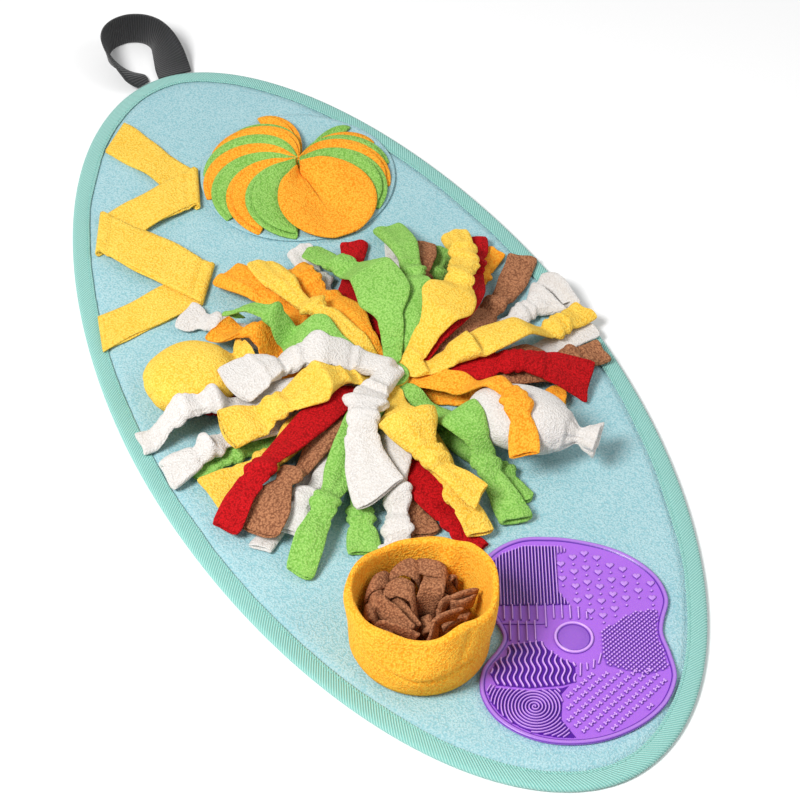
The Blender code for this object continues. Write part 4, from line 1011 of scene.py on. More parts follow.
def build_top_petal():
    centre = sum(VALLEY) * 0.5
    rows = []
    for angle, away, count in top_steps(centre):
        radius = petal_radius(away + PETAL_COLUMN, (count + 2) * PETAL_COLUMN, TOP_LENGTH)
        row = []
        for share in np.linspace(0.0, 1.0, 26):
            r = PETAL_INNER + (radius - PETAL_INNER) * share
            row.append(flower_place(angle, r, top_height(angle, away, share, centre)))
        rows.append(row)
    grid = np.array(rows)
    shape = cloth_mesh(grid, TOP_THICK)
    piece = add_piece("petal_14_orange_cloth", shape, FLEECE["orange"], ["petal_14_orange"])
    return piece, grid_area(grid)


top_petal, top_area = build_top_petal()
print("open petal:", round(top_area * 1e4, 1), "square cm")

# %% [markdown]
# ## The knotted strips
# Forty-seven strips of fleece are sewn to a stack of small patches in the middle and knotted towards
# their ends. Each one is gathered at its root, swells into a soft flattened roll, is pulled through
# one or two overhand knots and ends in a cut mouth. In plan their curves are simple, and their
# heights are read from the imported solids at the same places, so each lies on what is below it.

# %% Where the strips run
HUB_AT = (25.0, 11.0)
HUB_RADIUS, FLAT_RADIUS = 11.0, 20.0
HUB_LOW, HUB_PITCH = 4.3, 1.5
NECK = 9.0  # from a knot's middle to the neck on each side of it
Strip = namedtuple("Strip", "leave end reach width belly knots tail", defaults=(20, 0.45, (0.8,), 22))

STRIP_GROUPS = {
    "green_low": [
        Strip(20, 17, 126, tail=14), Strip(-84, -86, 146, tail=26), Strip(-164, -163, 152, tail=18),
        Strip(140, 140, 145, tail=16), Strip(-44, -32, 140, width=20),
    ],
    "white_low": [
        Strip(104, 104, 152, tail=40, knots=(0.75,)), Strip(-90, -86, 162, tail=28),
        Strip(-146, -141, 156, knots=(0.85,), tail=26), Strip(152, 153, 146, tail=20),
        Strip(-56, -56, 158, tail=16),
    ],
    "brown_low": [Strip(-26, -16, 125, width=16), Strip(140, 147, 140, knots=(0.7,), tail=26)],
    "orange_low": [
        Strip(124, 127, 156, tail=16), Strip(60, 59, 112, width=18, tail=28),
        Strip(-158, -158, 154, width=26, knots=(0.7,), tail=28),
    ],
    "red_low": [
        Strip(-106, -108, 144, tail=16),
        Strip(-20, -3, 146, width=26, belly=0.65, knots=(0.86,), tail=14),
    ],
    "yellow_low": [Strip(-8, -2, 138, tail=20), Strip(-76, -75, 148, knots=(0.7,), tail=30)],
    "white_mid": [
        Strip(181, 180, 152, width=14, knots=(0.75,), tail=20),
        Strip(80, 90, 148, width=15, knots=(0.6,)), Strip(-100, -98, 168, knots=(0.7, 0.84), tail=20),
        Strip(-22, -24, 138, width=18, knots=(0.74, 0.9)), Strip(-54, -52, 142, width=16),
    ],
    "brown_top": [
        Strip(104, 120, 160, width=24, knots=(0.65,)),
        Strip(70, 80, 146, width=30, belly=0.65, knots=(0.84,)),
        Strip(-62, -59, 152, width=16, knots=(0.72,), tail=34),
    ],
    "red_top": [
        Strip(176, 165, 146, width=26, tail=20), Strip(110, 135, 155, width=24, tail=30),
        Strip(76, 67, 130, width=24, knots=(0.6,), tail=32),
        Strip(-72, -65, 160, width=22, knots=(0.76,), tail=22),
    ],
    "orange_top": [
        Strip(-172, -174, 132, width=26),
        Strip(-124, -138, 126, width=32, belly=0.55, knots=(0.76,), tail=26),
        Strip(60, 20, 115, width=16, tail=20), Strip(140, 138, 90),
    ],
    "green_mid": [
        Strip(138, 156, 158, width=22, knots=(0.57,)), Strip(-46, -45, 166, knots=(0.72,), tail=20),
        Strip(18, 9, 137, width=23, knots=(0.7,), tail=22),
    ],
    "yellow_top": [
        Strip(112, 138, 150, width=32, belly=0.4, knots=(0.6, 0.78)),
        Strip(82, 94, 150, width=23, knots=(0.82,)),
        Strip(-22, 1, 123, width=34, belly=0.4, knots=(0.7,), tail=18),
        Strip(-88, -87, 120, width=30, belly=0.45, knots=(0.7,), tail=30),
        Strip(-158, -165, 138, width=14, knots=(0.55,), tail=24),
    ],
    "green_top": [
        Strip(155, 179, 140, width=30, belly=0.33, knots=(0.82,)),
        Strip(-136, -142, 121, width=30, belly=0.45, knots=(0.68,), tail=16),
    ],
    "white_top": [
        Strip(-52, -29, 108, width=30, belly=0.3, knots=(0.55,), tail=34),
        Strip(-128, -102, 105, width=28, knots=(0.62,), tail=34),
    ],
}


def strip_sections(strip):
    """(distance from the hub's centre, width, thickness) of each section of a strip's solid."""
    first = strip.knots[0] * strip.reach - NECK
    middle = min(max(strip.belly * strip.reach, 52.0), first - 10.0)
    rows = [
        (FLAT_RADIUS, 8.0, 1.0),
        (29.0, 11.5, 2.4),
        (40.0, min(16.0, strip.width), 4.0),
        ((40.0 + middle) * 0.5, min(strip.width, 14.0 + 0.3 * strip.width), 5.0),
        (middle, strip.width, 5.6),
        (middle + (first - middle) * 0.55, strip.width * 0.88, 5.6),
        (first, strip.width * 0.5, 4.5),
    ]
    for knot in strip.knots:
        at = knot * strip.reach
        rows.append((at - 4.0, max(17.0, strip.width * 0.8), 10.0))
        rows.append((at + 4.0, max(17.0, strip.width * 0.75), 9.0))
        rows.append((at + NECK, min(strip.tail, strip.width) * 0.6, 4.5))
    last = rows[-1][0]
    rows.append((last + (strip.reach - last) * 0.45, strip.tail * 0.9, 4.0))
    rows.append((strip.reach, strip.tail, 4.0))
    return rows


def strip_place(strip, distance):
    share = max(distance - FLAT_RADIUS, 0.0) / (strip.reach - FLAT_RADIUS)
    turn = math.radians(strip.leave + (strip.end - strip.leave) * share**1.2)
    return np.array(polar(HUB_AT, distance, turn, 0.0)[:2])


def strip_across(strip, distance):
    along = strip_place(strip, distance + 1.0) - strip_place(strip, distance - 1.0)
    return quarter_turn(along) / np.linalg.norm(along)


print("strips:", sum(len(strips) for strips in STRIP_GROUPS.values()))


# %% Read the heights of the solids
def node_points(name):
    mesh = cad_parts[name].data
    flat = np.zeros(len(mesh.vertices) * 3)
    mesh.vertices.foreach_get("co", flat)
    return flat.reshape(-1, 3) / MM


def corner_heights(strip, points):
    """The height of the underside's two corners at each section, found by their place in plan."""
    heights = []
    for distance, width, _ in strip_sections(strip):
        place, across = strip_place(strip, distance), strip_across(strip, distance)
        pair = []
        for side in (-1.0, 1.0):
            corner = place + across * side * width * 0.5
            near = np.linalg.norm(points[:, :2] - corner, axis=1)
            found = int(near.argmin())
            if near[found] > 0.1:
                raise SystemExit("no corner of a strip at its place in the solids")
            pair.append(points[near < 0.1, 2].min())
        heights.append(pair)
    return np.array(heights)


def tree_of(names):
    vertices, faces, start = [], [], 0
    for name in names:
        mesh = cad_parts[name].data
        vertices += [vertex.co / MM for vertex in mesh.vertices]
        faces += [tuple(start + index for index in face.vertices) for face in mesh.polygons]
        start = len(vertices)
    return BVHTree.FromPolygons(vertices, faces)


PILE_NODES = ["tuft_" + name for name in STRIP_GROUPS] + ["pod_yellow", "pod_white"]
pile_tree = tree_of(PILE_NODES)
print("nodes in the pile:", len(PILE_NODES))

# %% [markdown]
# A strip's section is a ring of points: flat below, round above, with a valley where its two long
# edges meet. Where nothing lies on it, the roll is plumper than its solid. A knot is the same ring
# swollen into a ball, with one band of cloth wrapped round it at a slant.

# %% One strip
RING = 34
STEP = 1.5  # between rings
ROOT_WIDTH = 14.0
FULLER = 1.14  # how much wider the soft roll is than its solid
KNOT_WIDTH = 19.0


def eased_rows(distances, rows):
    """A strip's width, thickness and two heights: straight between the rows, then blurred a little."""
    rows = np.asarray(rows, float)
    fine = np.arange(rows[0, 0] - 8.0, rows[-1, 0] + 8.0, 0.5)
    values = np.stack([np.interp(fine, rows[:, 0], rows[:, c]) for c in range(1, rows.shape[1])], axis=1)
    eased = []
    for column, spread in zip(values.T, (3.6, 2.4, 3.2, 3.2)):
        window = np.exp(-((np.arange(-14, 15) * 0.5 / spread) ** 2))
        blurred = np.convolve(np.pad(column, 14, "edge"), window / window.sum(), "valid")
        eased.append(np.interp(distances, fine, blurred))
    return np.stack(eased, axis=1)


def room_above(place, across, width, top):
    """How far the nearest thing above a strip is, looked for at five places across it."""
    room = 30.0
    for share in (-0.45, -0.2, 0.0, 0.2, 0.45):
        point = place + across * width * share
        hit, _, _, distance = pile_tree.ray_cast((point[0], point[1], top + 0.3), (0.0, 0.0, 1.0), 60.0)
        if hit is not None:
            room = min(room, distance)
    return room


def strip_profile(strip, points, start):
    """The width, thickness and corner heights of a strip at each of its rings."""
    sections = strip_sections(strip)
    corners = corner_heights(strip, points)
    distances = np.arange(start, strip.reach + 0.01, STEP)
    distances = np.append(distances, strip.reach)
    rows = [(d, w, t, low[0], low[1]) for (d, w, t), low in zip(sections, corners)]
    low = rows[0][3:]
    rows = [(start, 3.0, 0.8, *low), (start + 4.0, ROOT_WIDTH - 2.0, 1.0, *low)] + rows
    values = eased_rows(distances, rows)
    # The solids are thin at the root. The cloth bunches up there, so it's wider than they are.
    wide = ROOT_WIDTH + (5.0 if start < 0.0 else 0.0)
    root_widths = (3.0, wide - 2.0, wide, wide + 3.5, wide, 0.0)
    bunched = np.interp(distances, (start, start + 4.0, 20.0, 34.0, 46.0, 56.0), root_widths)
    mouth = smooth_step((distances - strip.knots[-1] * strip.reach - NECK) / 12.0)
    values[:, 0] = np.maximum(values[:, 0] * (FULLER - 0.14 * mouth), bunched)
    return distances, values


Route = namedtuple("Route", "strip on_top distances values places acrosses rooms")


def strip_route(name, strip, points):
    """Where a strip's rings are, how large, and how much plumper than its solid each may be."""
    on_top = name.startswith("white_top")
    distances, values = strip_profile(strip, points, -5.0 if on_top else 9.0)
    places = np.array([strip_place(strip, d) for d in distances])
    acrosses = np.array([strip_across(strip, d) for d in distances])
    rooms = []
    for (width, thick, low_a, low_b), place, across in zip(values, places, acrosses):
        rooms.append(room_above(place, across, width, (low_a + low_b) * 0.5 + thick))
    rooms = [min(rooms[max(i - 3, 0) : i + 4]) for i in range(len(rooms))]
    rooms = np.convolve(np.pad(rooms, 3, "edge"), np.ones(7) / 7, "valid")
    return Route(strip, on_top, distances, values, places, acrosses, rooms)


print("a long strip has", int((160.0 - FLAT_RADIUS) / STEP), "rings of", RING, "points")

# %% [markdown]
# No two strips hang alike. Random numbers, drawn from a seed that each strip has for itself, say
# where its valley lies, how its knots are wrapped and how its mouth is folded. Each function below
# adds one of those forms to a ring, so they can be read, and changed, one at a time.

# %% What differs from strip to strip
Folds = namedtuple(
    "Folds", "valley_at valley_turn valley_deep waves knot_phase knot_slant tail_folds tail_phase"
)
# Where a ring is: along the strip, from the nearest knot, and how much it is of that knot and of the tail.
Spot = namedtuple("Spot", "distance knot_index away knot tail")


def draw_folds(strip, rng):
    """What differs from strip to strip. The order of the draws matters."""
    valley_at, valley_turn = rng.uniform(-0.35, 0.35), rng.uniform(-0.25, 0.25)
    valley_deep = rng.choice((0.06, 0.12, 0.2, 0.3))
    waves = [(rng.uniform(0.05, 0.13), rng.uniform(0.0, 6.28)) for _ in range(3)]
    knot_phase = [rng.uniform(0.0, 6.28) for _ in strip.knots]
    knot_slant = [rng.choice((-1.0, 1.0)) * rng.uniform(3.2, 4.8) for _ in strip.knots]
    tail_folds, tail_phase = rng.choice((1.3, 1.8, 2.4)), rng.uniform(0.0, 6.28)
    return Folds(valley_at, valley_turn, valley_deep, waves, knot_phase, knot_slant, tail_folds, tail_phase)


def ring_spot(strip, distance):
    aways = [distance - knot * strip.reach for knot in strip.knots]
    nearest = int(np.argmin(np.abs(aways)))
    knot = float(smooth_step((NECK + 1.0 - abs(aways[nearest])) / (NECK - 2.0)))
    tail = smooth_step((distance - strip.knots[-1] * strip.reach - NECK) / 10.0)
    return Spot(distance, nearest, aways[nearest], knot, tail)


print("how much of a knot a ring at one is:", ring_spot(Strip(0, 0, 100.0), 80.0).knot)

# %% The forms of one ring
ANGLES = np.linspace(0.0, TURN, RING, endpoint=False) + 0.5 * math.pi / RING
COSINES, SINES = np.cos(ANGLES), np.sin(ANGLES)


def ring_outline(spot, folds):
    """A ring's points, from -1 to 1 across and up: flat below, round above, with valleys and mouth folds."""
    s = np.sign(COSINES) * np.abs(COSINES) ** (2.0 / 2.2)
    power = np.where(SINES > 0.0, 2.0 + 0.5 * (1.0 - spot.knot), 2.8 - 0.6 * spot.knot)
    n = np.sign(SINES) * np.abs(SINES) ** (2.0 / power)
    # The valley along the roll, and a softer one beside it.
    at = folds.valley_at + folds.valley_turn * math.sin(spot.distance * 0.045 + folds.waves[1][1])
    deep = folds.valley_deep * (1.0 - spot.knot)
    deep *= smooth_step((spot.distance - 24.0) / 16.0) * (1.0 - 0.4 * spot.tail)
    top = np.clip(n, 0.0, 1.0)
    n = n - deep * 2.0 * top * np.exp(-(((s - at) / 0.17) ** 2))
    second = -np.sign(at or 1.0) * (0.55 + 0.1 * math.sin(spot.distance * 0.08 + folds.waves[2][1]))
    n = n - 0.45 * deep * top * np.exp(-(((s - second) / 0.12) ** 2))
    # The tail is a limp tube with two or three folds along it.
    flutes = np.sin(folds.tail_folds * math.pi * s + folds.tail_phase)
    flutes = math.cos(folds.tail_phase) + spot.tail * 1.2 * flutes
    return s, n + 0.16 * spot.tail * flutes * np.where(n > 0.0, 1.0, 0.6)


def ring_swell(spot, folds):
    """How much each point of a ring swells: the band wrapped round a knot, and the gathers at its necks."""
    swell = np.zeros(RING)
    if spot.knot > 0.0:
        around = ANGLES + folds.knot_phase[spot.knot_index]
        band = spot.away - folds.knot_slant[spot.knot_index] * np.sin(around)
        swell = 0.10 * np.exp(-((band / 3.0) ** 2))
        for edge in (-4.4, 4.4):
            swell = swell - 0.15 * np.exp(-(((band - edge) / 1.5) ** 2))
        swell = swell * smooth_step(spot.knot * 1.6)
    near = bell(abs(spot.away) - NECK - 2.0, 6.0) if abs(spot.away) < 26.0 else 0.0
    root = bell(spot.distance - 22.0, 12.0)
    gathers = np.sin(5.0 * ANGLES + folds.knot_phase[0] + spot.distance * 0.02)
    return 1.0 + swell + (0.09 * near + 0.06 * root) * gathers


def ring_size(route, i, spot, folds):
    """How wide and how high a ring is. A strip with nothing on it is plumper than its solid."""
    width, thick = route.values[i, :2]
    wanted = width * (0.5 - 0.2 * spot.tail)
    wanted = wanted * (1.0 - spot.knot) + spot.knot * min(width * 0.95, 17.5)
    began, over = (-5.0, 8.0) if route.on_top else (10.0, 16.0)
    begun = smooth_step((spot.distance - began) / over)
    plump = max(0.0, min(wanted - thick, route.rooms[i] - 0.8)) * begun
    neck = bell(abs(spot.away) - NECK, 3.4) if spot.knot > 0.0 else 0.0
    wide = width * (1.0 - spot.knot) + min(width, KNOT_WIDTH) * spot.knot
    rate, phase = folds.waves[0]
    wide *= (1.0 + 0.05 * math.sin(spot.distance * rate + phase)) * (1.0 - 0.13 * neck)
    ending = smooth_step((spot.distance - route.strip.reach + 2.5) / 2.5)
    return max(wide - 0.1 * plump, 3.0) * (1.0 - 0.06 * ending), thick + plump


print("points in a ring:", len(ANGLES))


# %% One ring, and all strips
def strip_ring(route, folds, i, shrink=0.0, back=0.0):
    """The points of one ring. With shrink and back it is a smaller one, so far back inside."""
    reach, distance = route.strip.reach, route.distances[i]
    low_a, low_b = route.values[i, 2:]
    place, across = route.places[i], route.acrosses[i]
    spot = ring_spot(route.strip, distance)
    s, n = ring_outline(spot, folds)
    wide, high = ring_size(route, i, spot, folds)
    size = ring_swell(spot, folds) - shrink
    lean, mean_low = (low_b - low_a) * 0.5, (low_a + low_b) * 0.5
    ring = np.zeros((RING, 3))
    ring[:, :2] = place + across * (s * wide * 0.5 * size)[:, None]
    # The cut end isn't straight.
    slant = smooth_step((distance - reach + 8.0) / 8.0)
    slant = slant * (1.4 * np.sin(2.2 * s + folds.tail_phase) - 0.8 * s * s)
    ring[:, :2] += np.array((across[1], -across[0])) * slant[:, None]
    ring[:, 2] = mean_low + high * 0.5 + n * high * 0.5 * (size - shrink * 1.2) + lean * s
    # Rumples along the roll.
    rumple = 0.35 * np.sin(distance * 0.33 + 2.0 * ANGLES + folds.waves[2][1]) * np.clip(n, 0.0, 1.0)
    ring[:, 2] += rumple * smooth_step((high - 4.0) / 4.0)
    ring[:, 2] = np.maximum(ring[:, 2], mean_low + lean * s - 0.05)
    ring[:, :2] -= unit(route.places[-1] - route.places[-3]) * back
    return ring


# The cut mouth: the ring turns in over the cloth's edge and runs back inside.
MOUTH = ((0.07, -0.5), (0.22, -0.2), (0.30, 1.0), (0.36, 5.0), (0.42, 9.0))


def build_strip(name, strip, points, material, rng):
    route = strip_route(name, strip, points)
    folds = draw_folds(strip, rng)
    last = len(route.distances) - 1
    rings = [strip_ring(route, folds, i) for i in range(last + 1)]
    rings += [strip_ring(route, folds, last, shrink, back) for shrink, back in MOUTH]
    return add_piece("strip_" + name, tube_mesh(rings), material, ["tuft_" + name.rsplit("_", 1)[0]])


def surface_area(piece):
    return sum(face.area for face in piece.data.polygons)


strip_pieces = {}
for group_name, strips in STRIP_GROUPS.items():
    node = "tuft_" + group_name
    points = node_points(node)
    colour = group_name.split("_")[0]
    for index, strip in enumerate(strips):
        rng = random.Random(group_name + str(index))
        name = f"{group_name}_{index + 1}"
        piece = build_strip(name, strip, points, FLEECE[colour], rng)
        length = strip.reach + 12.0 * len(strip.knots)
        width = max(strip.width * 0.9, 20.0)
        strip_pieces[name] = piece
        ratio = surface_area(piece) * 0.5 / (width * length * MM * MM)
        if not 0.75 < ratio < 1.5:
            print("area share of", name, round(ratio, 2))
print("strips:", len(strip_pieces), "faces:", sum(len(p.data.polygons) for p in strip_pieces.values()))

# %% The patches the strips are sewn to
HUB_PATCH_THICK = 0.9


def disc_grid(at, radii, steps, z):
    """The grid of a flat round patch, from its middle outwards."""
    turns = [TURN * j / steps for j in range(steps)]
    return [[polar(at, radius, turn, z) for turn in turns] for radius in radii]


for level, (group_name, strips) in enumerate(STRIP_GROUPS.items()):
    size = 0.7 if group_name == "white_top" else 1.0
    radii = (0.4, 4.0 * size, 8.0 * size, (HUB_RADIUS - 1.5) * size, (HUB_RADIUS - 0.2) * size)
    grid = disc_grid(HUB_AT, radii, 28, HUB_LOW + HUB_PITCH * level + 0.5)
    shape = cloth_mesh(grid, HUB_PATCH_THICK, closed=True)
    colour = group_name.split("_")[0]
    patch = add_piece("patch_" + group_name, shape, FLEECE[colour], ["tuft_" + group_name])
print("patches:", len(STRIP_GROUPS))

# %% [markdown]
# ## The pouches
# A pouch is a square of fleece gathered round a ball of filling. It is lofted along its length from
# the round end to the neck, where the pleats are deepest, and flattened where it lies on the strips.
# Then Blender's cloth blows it up a little, with the neck held: real wrinkles run out from the neck.

# %% Two pouches
Pod = namedtuple("Pod", "name colour x y z turn length width height")
PODS = [
    Pod("pod_yellow", "yellow", -26, -106, 20, 97, 62, 58, 34),
    Pod("pod_white", "white", 103, 67, 28, 45, 71, 47, 36),
]
# Along a pouch: distance from its middle and size, as shares of its half length and its section.
POD_ROWS = [
    (-1.045, 0.02), (-1.03, 0.17), (-1.0, 0.33), (-0.93, 0.50), (-0.82, 0.68), (-0.55, 0.90),
    (-0.10, 1.0), (0.35, 0.93), (0.68, 0.68), (0.86, 0.42), (0.96, 0.26), (1.04, 0.25),
    (1.14, 0.38), (1.26, 0.47), (1.34, 0.52),
]
POD_RING = 64
POD_MOUTH = ((0.93, -0.4), (0.82, 0.0), (0.64, 4.0), (0.42, 9.0))  # turned in over the cloth's edge
print("pouches:", [pod.name for pod in PODS])

# %% Air in a pouch
SIM_SCALE, SIM_FRAMES = 10.0, 20


def filled(piece, held, pressure, slack, most):
    """Where the piece's points come to rest with air inside, in millimetres, and none moves more than most.

    held is how firmly each point is kept, from 0 to 1. The cloth is tried at ten times its size, where
    its springs work best. With slack, there is a little more cloth than the form needs: it wrinkles."""
    scene = bpy.context.scene
    start = np.array([point.co for point in piece.data.vertices])
    mesh = piece.data.copy()
    mesh.vertices.foreach_set("co", (start * SIM_SCALE).ravel())
    trial = bpy.data.objects.new("trial", mesh)
    scene.collection.objects.link(trial)
    kept = trial.vertex_groups.new(name="held")
    for index, weight in enumerate(held):
        kept.add([index], float(weight), "REPLACE")
    cloth = trial.modifiers.new("air", "CLOTH")
    cloth.collision_settings.use_collision = False
    settings = cloth.settings
    settings.quality = 8
    settings.mass = 0.3
    settings.bending_stiffness = 0.4
    settings.use_pressure = True
    settings.uniform_pressure_force = pressure
    settings.shrink_min = -slack
    settings.vertex_group_mass = "held"
    settings.effector_weights.gravity = 0.0
    for number in range(1, SIM_FRAMES + 1):
        scene.frame_set(number)
    made = trial.evaluated_get(bpy.context.evaluated_depsgraph_get()).to_mesh()
    end = np.array([point.co for point in made.vertices]) / SIM_SCALE
    bpy.data.objects.remove(trial)
    bpy.data.meshes.remove(mesh)
    scene.frame_set(1)
    move = (end - start) / MM
    far = np.linalg.norm(move, axis=1, keepdims=True)
    print(piece.name, "moved by", round(float(far.mean()), 2), "mm, at most", round(float(far.max()), 2))
    return start / MM + move * np.minimum(1.0, most / np.maximum(far, 1e-6))


# %% Loft, press and fill a pouch
def pod_rings(pod, way, across):
    """Rings from the round end to the neck, where the pleats are deepest, and the fluted mouth."""
    angles = np.linspace(0.0, TURN, POD_RING, endpoint=False)
    rings = []
    for along, size in smooth_curve(POD_ROWS, 90):
        neck = bell(along - 0.98, 0.22)
        pleats = neck * (0.10 * np.sin(9 * angles + 0.6) + 0.05 * np.sin(14 * angles + 2.0))
        soft = 0.018 * np.sin(3 * angles + 5.0 * along) + 0.012 * np.sin(7 * angles + 2.0 + 4.0 * along)
        flutes = 0.16 * np.sin(5 * angles + 1.0) + 0.07 * np.sin(8 * angles)
        flutes = smooth_step((along - 1.06) / 0.25) * flutes
        scale = max(size, 0.0) * (1.0 + pleats + soft + flutes)
        ring = np.zeros((POD_RING, 3))
        ring[:, :2] = np.array((pod.x, pod.y)) + way * along * pod.length * 0.5
        ring[:, :2] += across * (np.cos(angles) * scale * pod.width * 0.5)[:, None]
        ring[:, 2] = pod.z + np.maximum(np.sin(angles), -0.8) * scale * pod.height * 0.5
        rings.append(ring)
    return rings


def press_flat(rings, tree):
    """Presses the underside up to the solid's, where it lies on strips, and spreads the press."""
    raised = np.zeros((len(rings), POD_RING))
    for i, ring in enumerate(rings):
        for k in range(POD_RING // 2 + 1, POD_RING):
            x, y, z = ring[k]
            hit, _, _, _ = tree.ray_cast((x, y, -5.0), (0.0, 0.0, 1.0))
            raised[i, k] = 0.0 if hit is None else max(hit[2] - z, 0.0)
    for _ in range(10):
        raised = (raised + np.roll(raised, 1, axis=1) + np.roll(raised, -1, axis=1)) / 3.0
        rows_more = np.pad(raised, ((1, 1), (0, 0)), "edge")
        raised = (rows_more[:-2] + rows_more[1:-1] + rows_more[2:]) / 3.0
    for ring, lifts in zip(rings, raised):
        ring[:, 2] += lifts


def build_pod(pod):
    turn = math.radians(pod.turn)
    way = np.array((math.cos(turn), math.sin(turn)))
    across = quarter_turn(way)
    rings = pod_rings(pod, way, across)
    press_flat(rings, tree_of([pod.name]))
    mouth = rings[-1]
    for size, back in POD_MOUTH:
        inside = mouth * size + mouth.mean(axis=0) * (1.0 - size)
        inside[:, :2] -= way * back
        rings.append(inside)
    piece = add_piece(pod.name + "_cloth", tube_mesh(rings), FLEECE[pod.colour], [pod.name])
    # The neck and its mouth are held, and so is the side that the pouch lies on.
    start = np.array([point.co for point in piece.data.vertices]) / MM
    along = (start[:, :2] - (pod.x, pod.y)) @ way / (pod.length * 0.5)
    low = smooth_step((pod.z - start[:, 2]) / (0.4 * pod.height))
    held = np.maximum(smooth_step((along - 0.72) / 0.2), low)
    points = filled(piece, held, pressure=4.0, slack=0.05, most=3.0)
    points += (start - points) * low[:, None]
    piece.data.vertices.foreach_set("co", (points * MM).ravel())
    piece.data.update()
    return piece


for pod in PODS:
    piece = build_pod(pod)
    print(pod.name, len(piece.data.polygons), "faces")

# %% [markdown]
# ## The basket
# A bucket of thick fleece with a rolled rim. One profile is swept round, as on a lathe, but each
# direction has its own height and radius: the front lip sags, the wall is creased where it was
# folded, and the inside has a dent. Moving the profile by small sums of waves does all of that.

# %% The bucket
BASKET_AT = (218.0, -62.0)
BASKET_RADIUS, BASKET_HEIGHT, BASKET_LOW = 41.5, 51.0, 4.3
BASKET_STEPS = 150
FRONT = math.radians(-27.5)  # the side that faces the camera
# (radius less the outer radius, share of the height, height above the floor)
BASKET_PROFILE = [
    (-36.0, 0.0, 0.2), (-20.0, 0.0, 0.1), (-8.0, 0.0, 0.1), (-4.2, 0.0, 0.5), (-2.0, 0.0, 2.0),
    (-0.6, 0.0, 4.8),
    (0.4, 0.15, 1.0), (1.2, 0.30, 0.0), (1.9, 0.45, 0.0), (2.5, 0.60, 0.0), (3.0, 0.75, 0.0),
    (3.4, 0.86, 0.0), (3.4, 0.93, 0.0), (3.0, 0.975, 0.0), (1.9, 1.0, 0.0), (0.4, 1.0, 0.0),
    (-0.9, 0.98, 0.0), (-1.7, 0.93, 0.0), (-2.3, 0.84, 0.0), (-3.4, 0.65, 0.0), (-5.0, 0.4, 0.0),
    (-7.0, 0.15, 2.5), (-10.5, 0.0, 3.6), (-14.0, 0.0, 3.0), (-36.0, 0.0, 3.0),
]


def away_from(turn, centre):
    return (turn - centre + math.pi) % TURN - math.pi


def rim_height(turn):
    """The front lip dips, the far side sags towards the left, and the right side stands up at two places."""
    dip = 4.5 * bell(away_from(turn, math.radians(-31.0)), 0.42)
    far = 12.0 * bell(away_from(turn, FRONT + math.pi + 0.25), 0.85)
    left = 4.0 * bell(away_from(turn, math.radians(-120.0)), 0.35)
    right = 3.0 * bell(away_from(turn, math.radians(8.0)), 0.4)
    right += 3.0 * bell(away_from(turn, math.radians(85.0)), 0.45)
    return BASKET_HEIGHT + 3.0 - dip - far - left + right


print("the rim's height in front:", round(rim_height(FRONT), 1))


# %% The wall's forms
def outer_relief(turn, share):
    """The outside: an old fold round it, a short crease from the rim on the right, and soft rumples."""
    front = away_from(turn, FRONT)
    # The fold is low in front and higher at the sides.
    fold = 0.42 + 0.24 * (1.0 - math.cos(front * 0.85)) + 0.015 * math.sin(5 * turn)
    crease = -1.7 * bell(share - fold, 0.025) + 1.3 * smooth_step((share - fold) / 0.05) * (1.0 - share)
    crease *= smooth_step((1.9 - abs(front)) / 0.6)
    right = bell(away_from(turn, FRONT + 0.75 - 0.5 * (0.95 - share)), 0.05)
    crease -= 0.9 * right * smooth_step((share - 0.45) / 0.2) * smooth_step((1.0 - share) / 0.1)
    rumple = 0.5 * math.sin(3 * turn + 7.0 * share) + 0.35 * math.sin(7 * turn - 5.0 * share + 1.0)
    return crease + rumple * smooth_step(share / 0.2)


def inner_relief(turn, share):
    """The inside: the wall buckles inwards in one upright fold, with a hollow to the right of it."""
    buckle = away_from(turn, math.radians(123.0) + 0.16 * share)
    fold = 5.0 * smooth_step((1.0 - share) / 0.4) * bell(buckle, 0.12)
    return 1.8 * bell(buckle + 0.27, 0.15) + 0.5 * math.sin(6 * turn + 3.0 * share) - fold


def rim_lean(turn, share):
    """How far the wall leans out towards its rim: the front lip leans in, and the right side bulges."""
    lean = 5.0 * bell(away_from(turn, math.radians(-30.0)), 0.55)
    lean += 3.5 * bell(away_from(turn, math.radians(10.0)), 0.35)
    bulge = 2.5 * bell(away_from(turn, math.radians(80.0)), 0.4)
    return bulge * smooth_step((share - 0.3) / 0.7) - lean * smooth_step((share - 0.5) / 0.5)


print("the front rim leans in by", round(-rim_lean(FRONT, 1.0), 1), "mm")


# %% Sweep the profile round
def basket_point(index, offset, share, above, turn):
    """Where one point of the profile is, for one direction."""
    share = min(max(share, 0.0), 1.0)
    inner = smooth_step((index - 46) / 8) * smooth_step((84 - index) / 6)
    outer = smooth_step((index - 14) / 6) * smooth_step((52 - index) / 4)
    oval = 0.025 * math.cos(2 * turn + 0.6) + 0.015 * math.cos(3 * turn - 1.0)
    radius = (BASKET_RADIUS + offset) * (1.0 + oval * min(1.0, 0.3 + share))
    radius += outer * outer_relief(turn, share) + inner * inner_relief(turn, share) + rim_lean(turn, share)
    wave = 0.5 * math.sin(5 * turn + 0.4) + 0.35 * math.sin(11 * turn)
    high = share * (rim_height(turn) + wave * smooth_step((share - 0.7) / 0.3))
    return polar(BASKET_AT, max(radius, 0.5), turn, BASKET_LOW + above + high)


def build_basket():
    turns = [TURN * step / BASKET_STEPS for step in range(BASKET_STEPS)]
    profile = smooth_curve(BASKET_PROFILE, 92)
    rings = [[basket_point(index, *row, turn) for turn in turns] for index, row in enumerate(profile)]
    return add_piece("basket_fleece", tube_mesh(rings), FLEECE["amber"], ["basket"])


basket = build_basket()
print("basket:", len(basket.data.polygons), "faces, half its area:", round(surface_area(basket) * 0.5, 4))

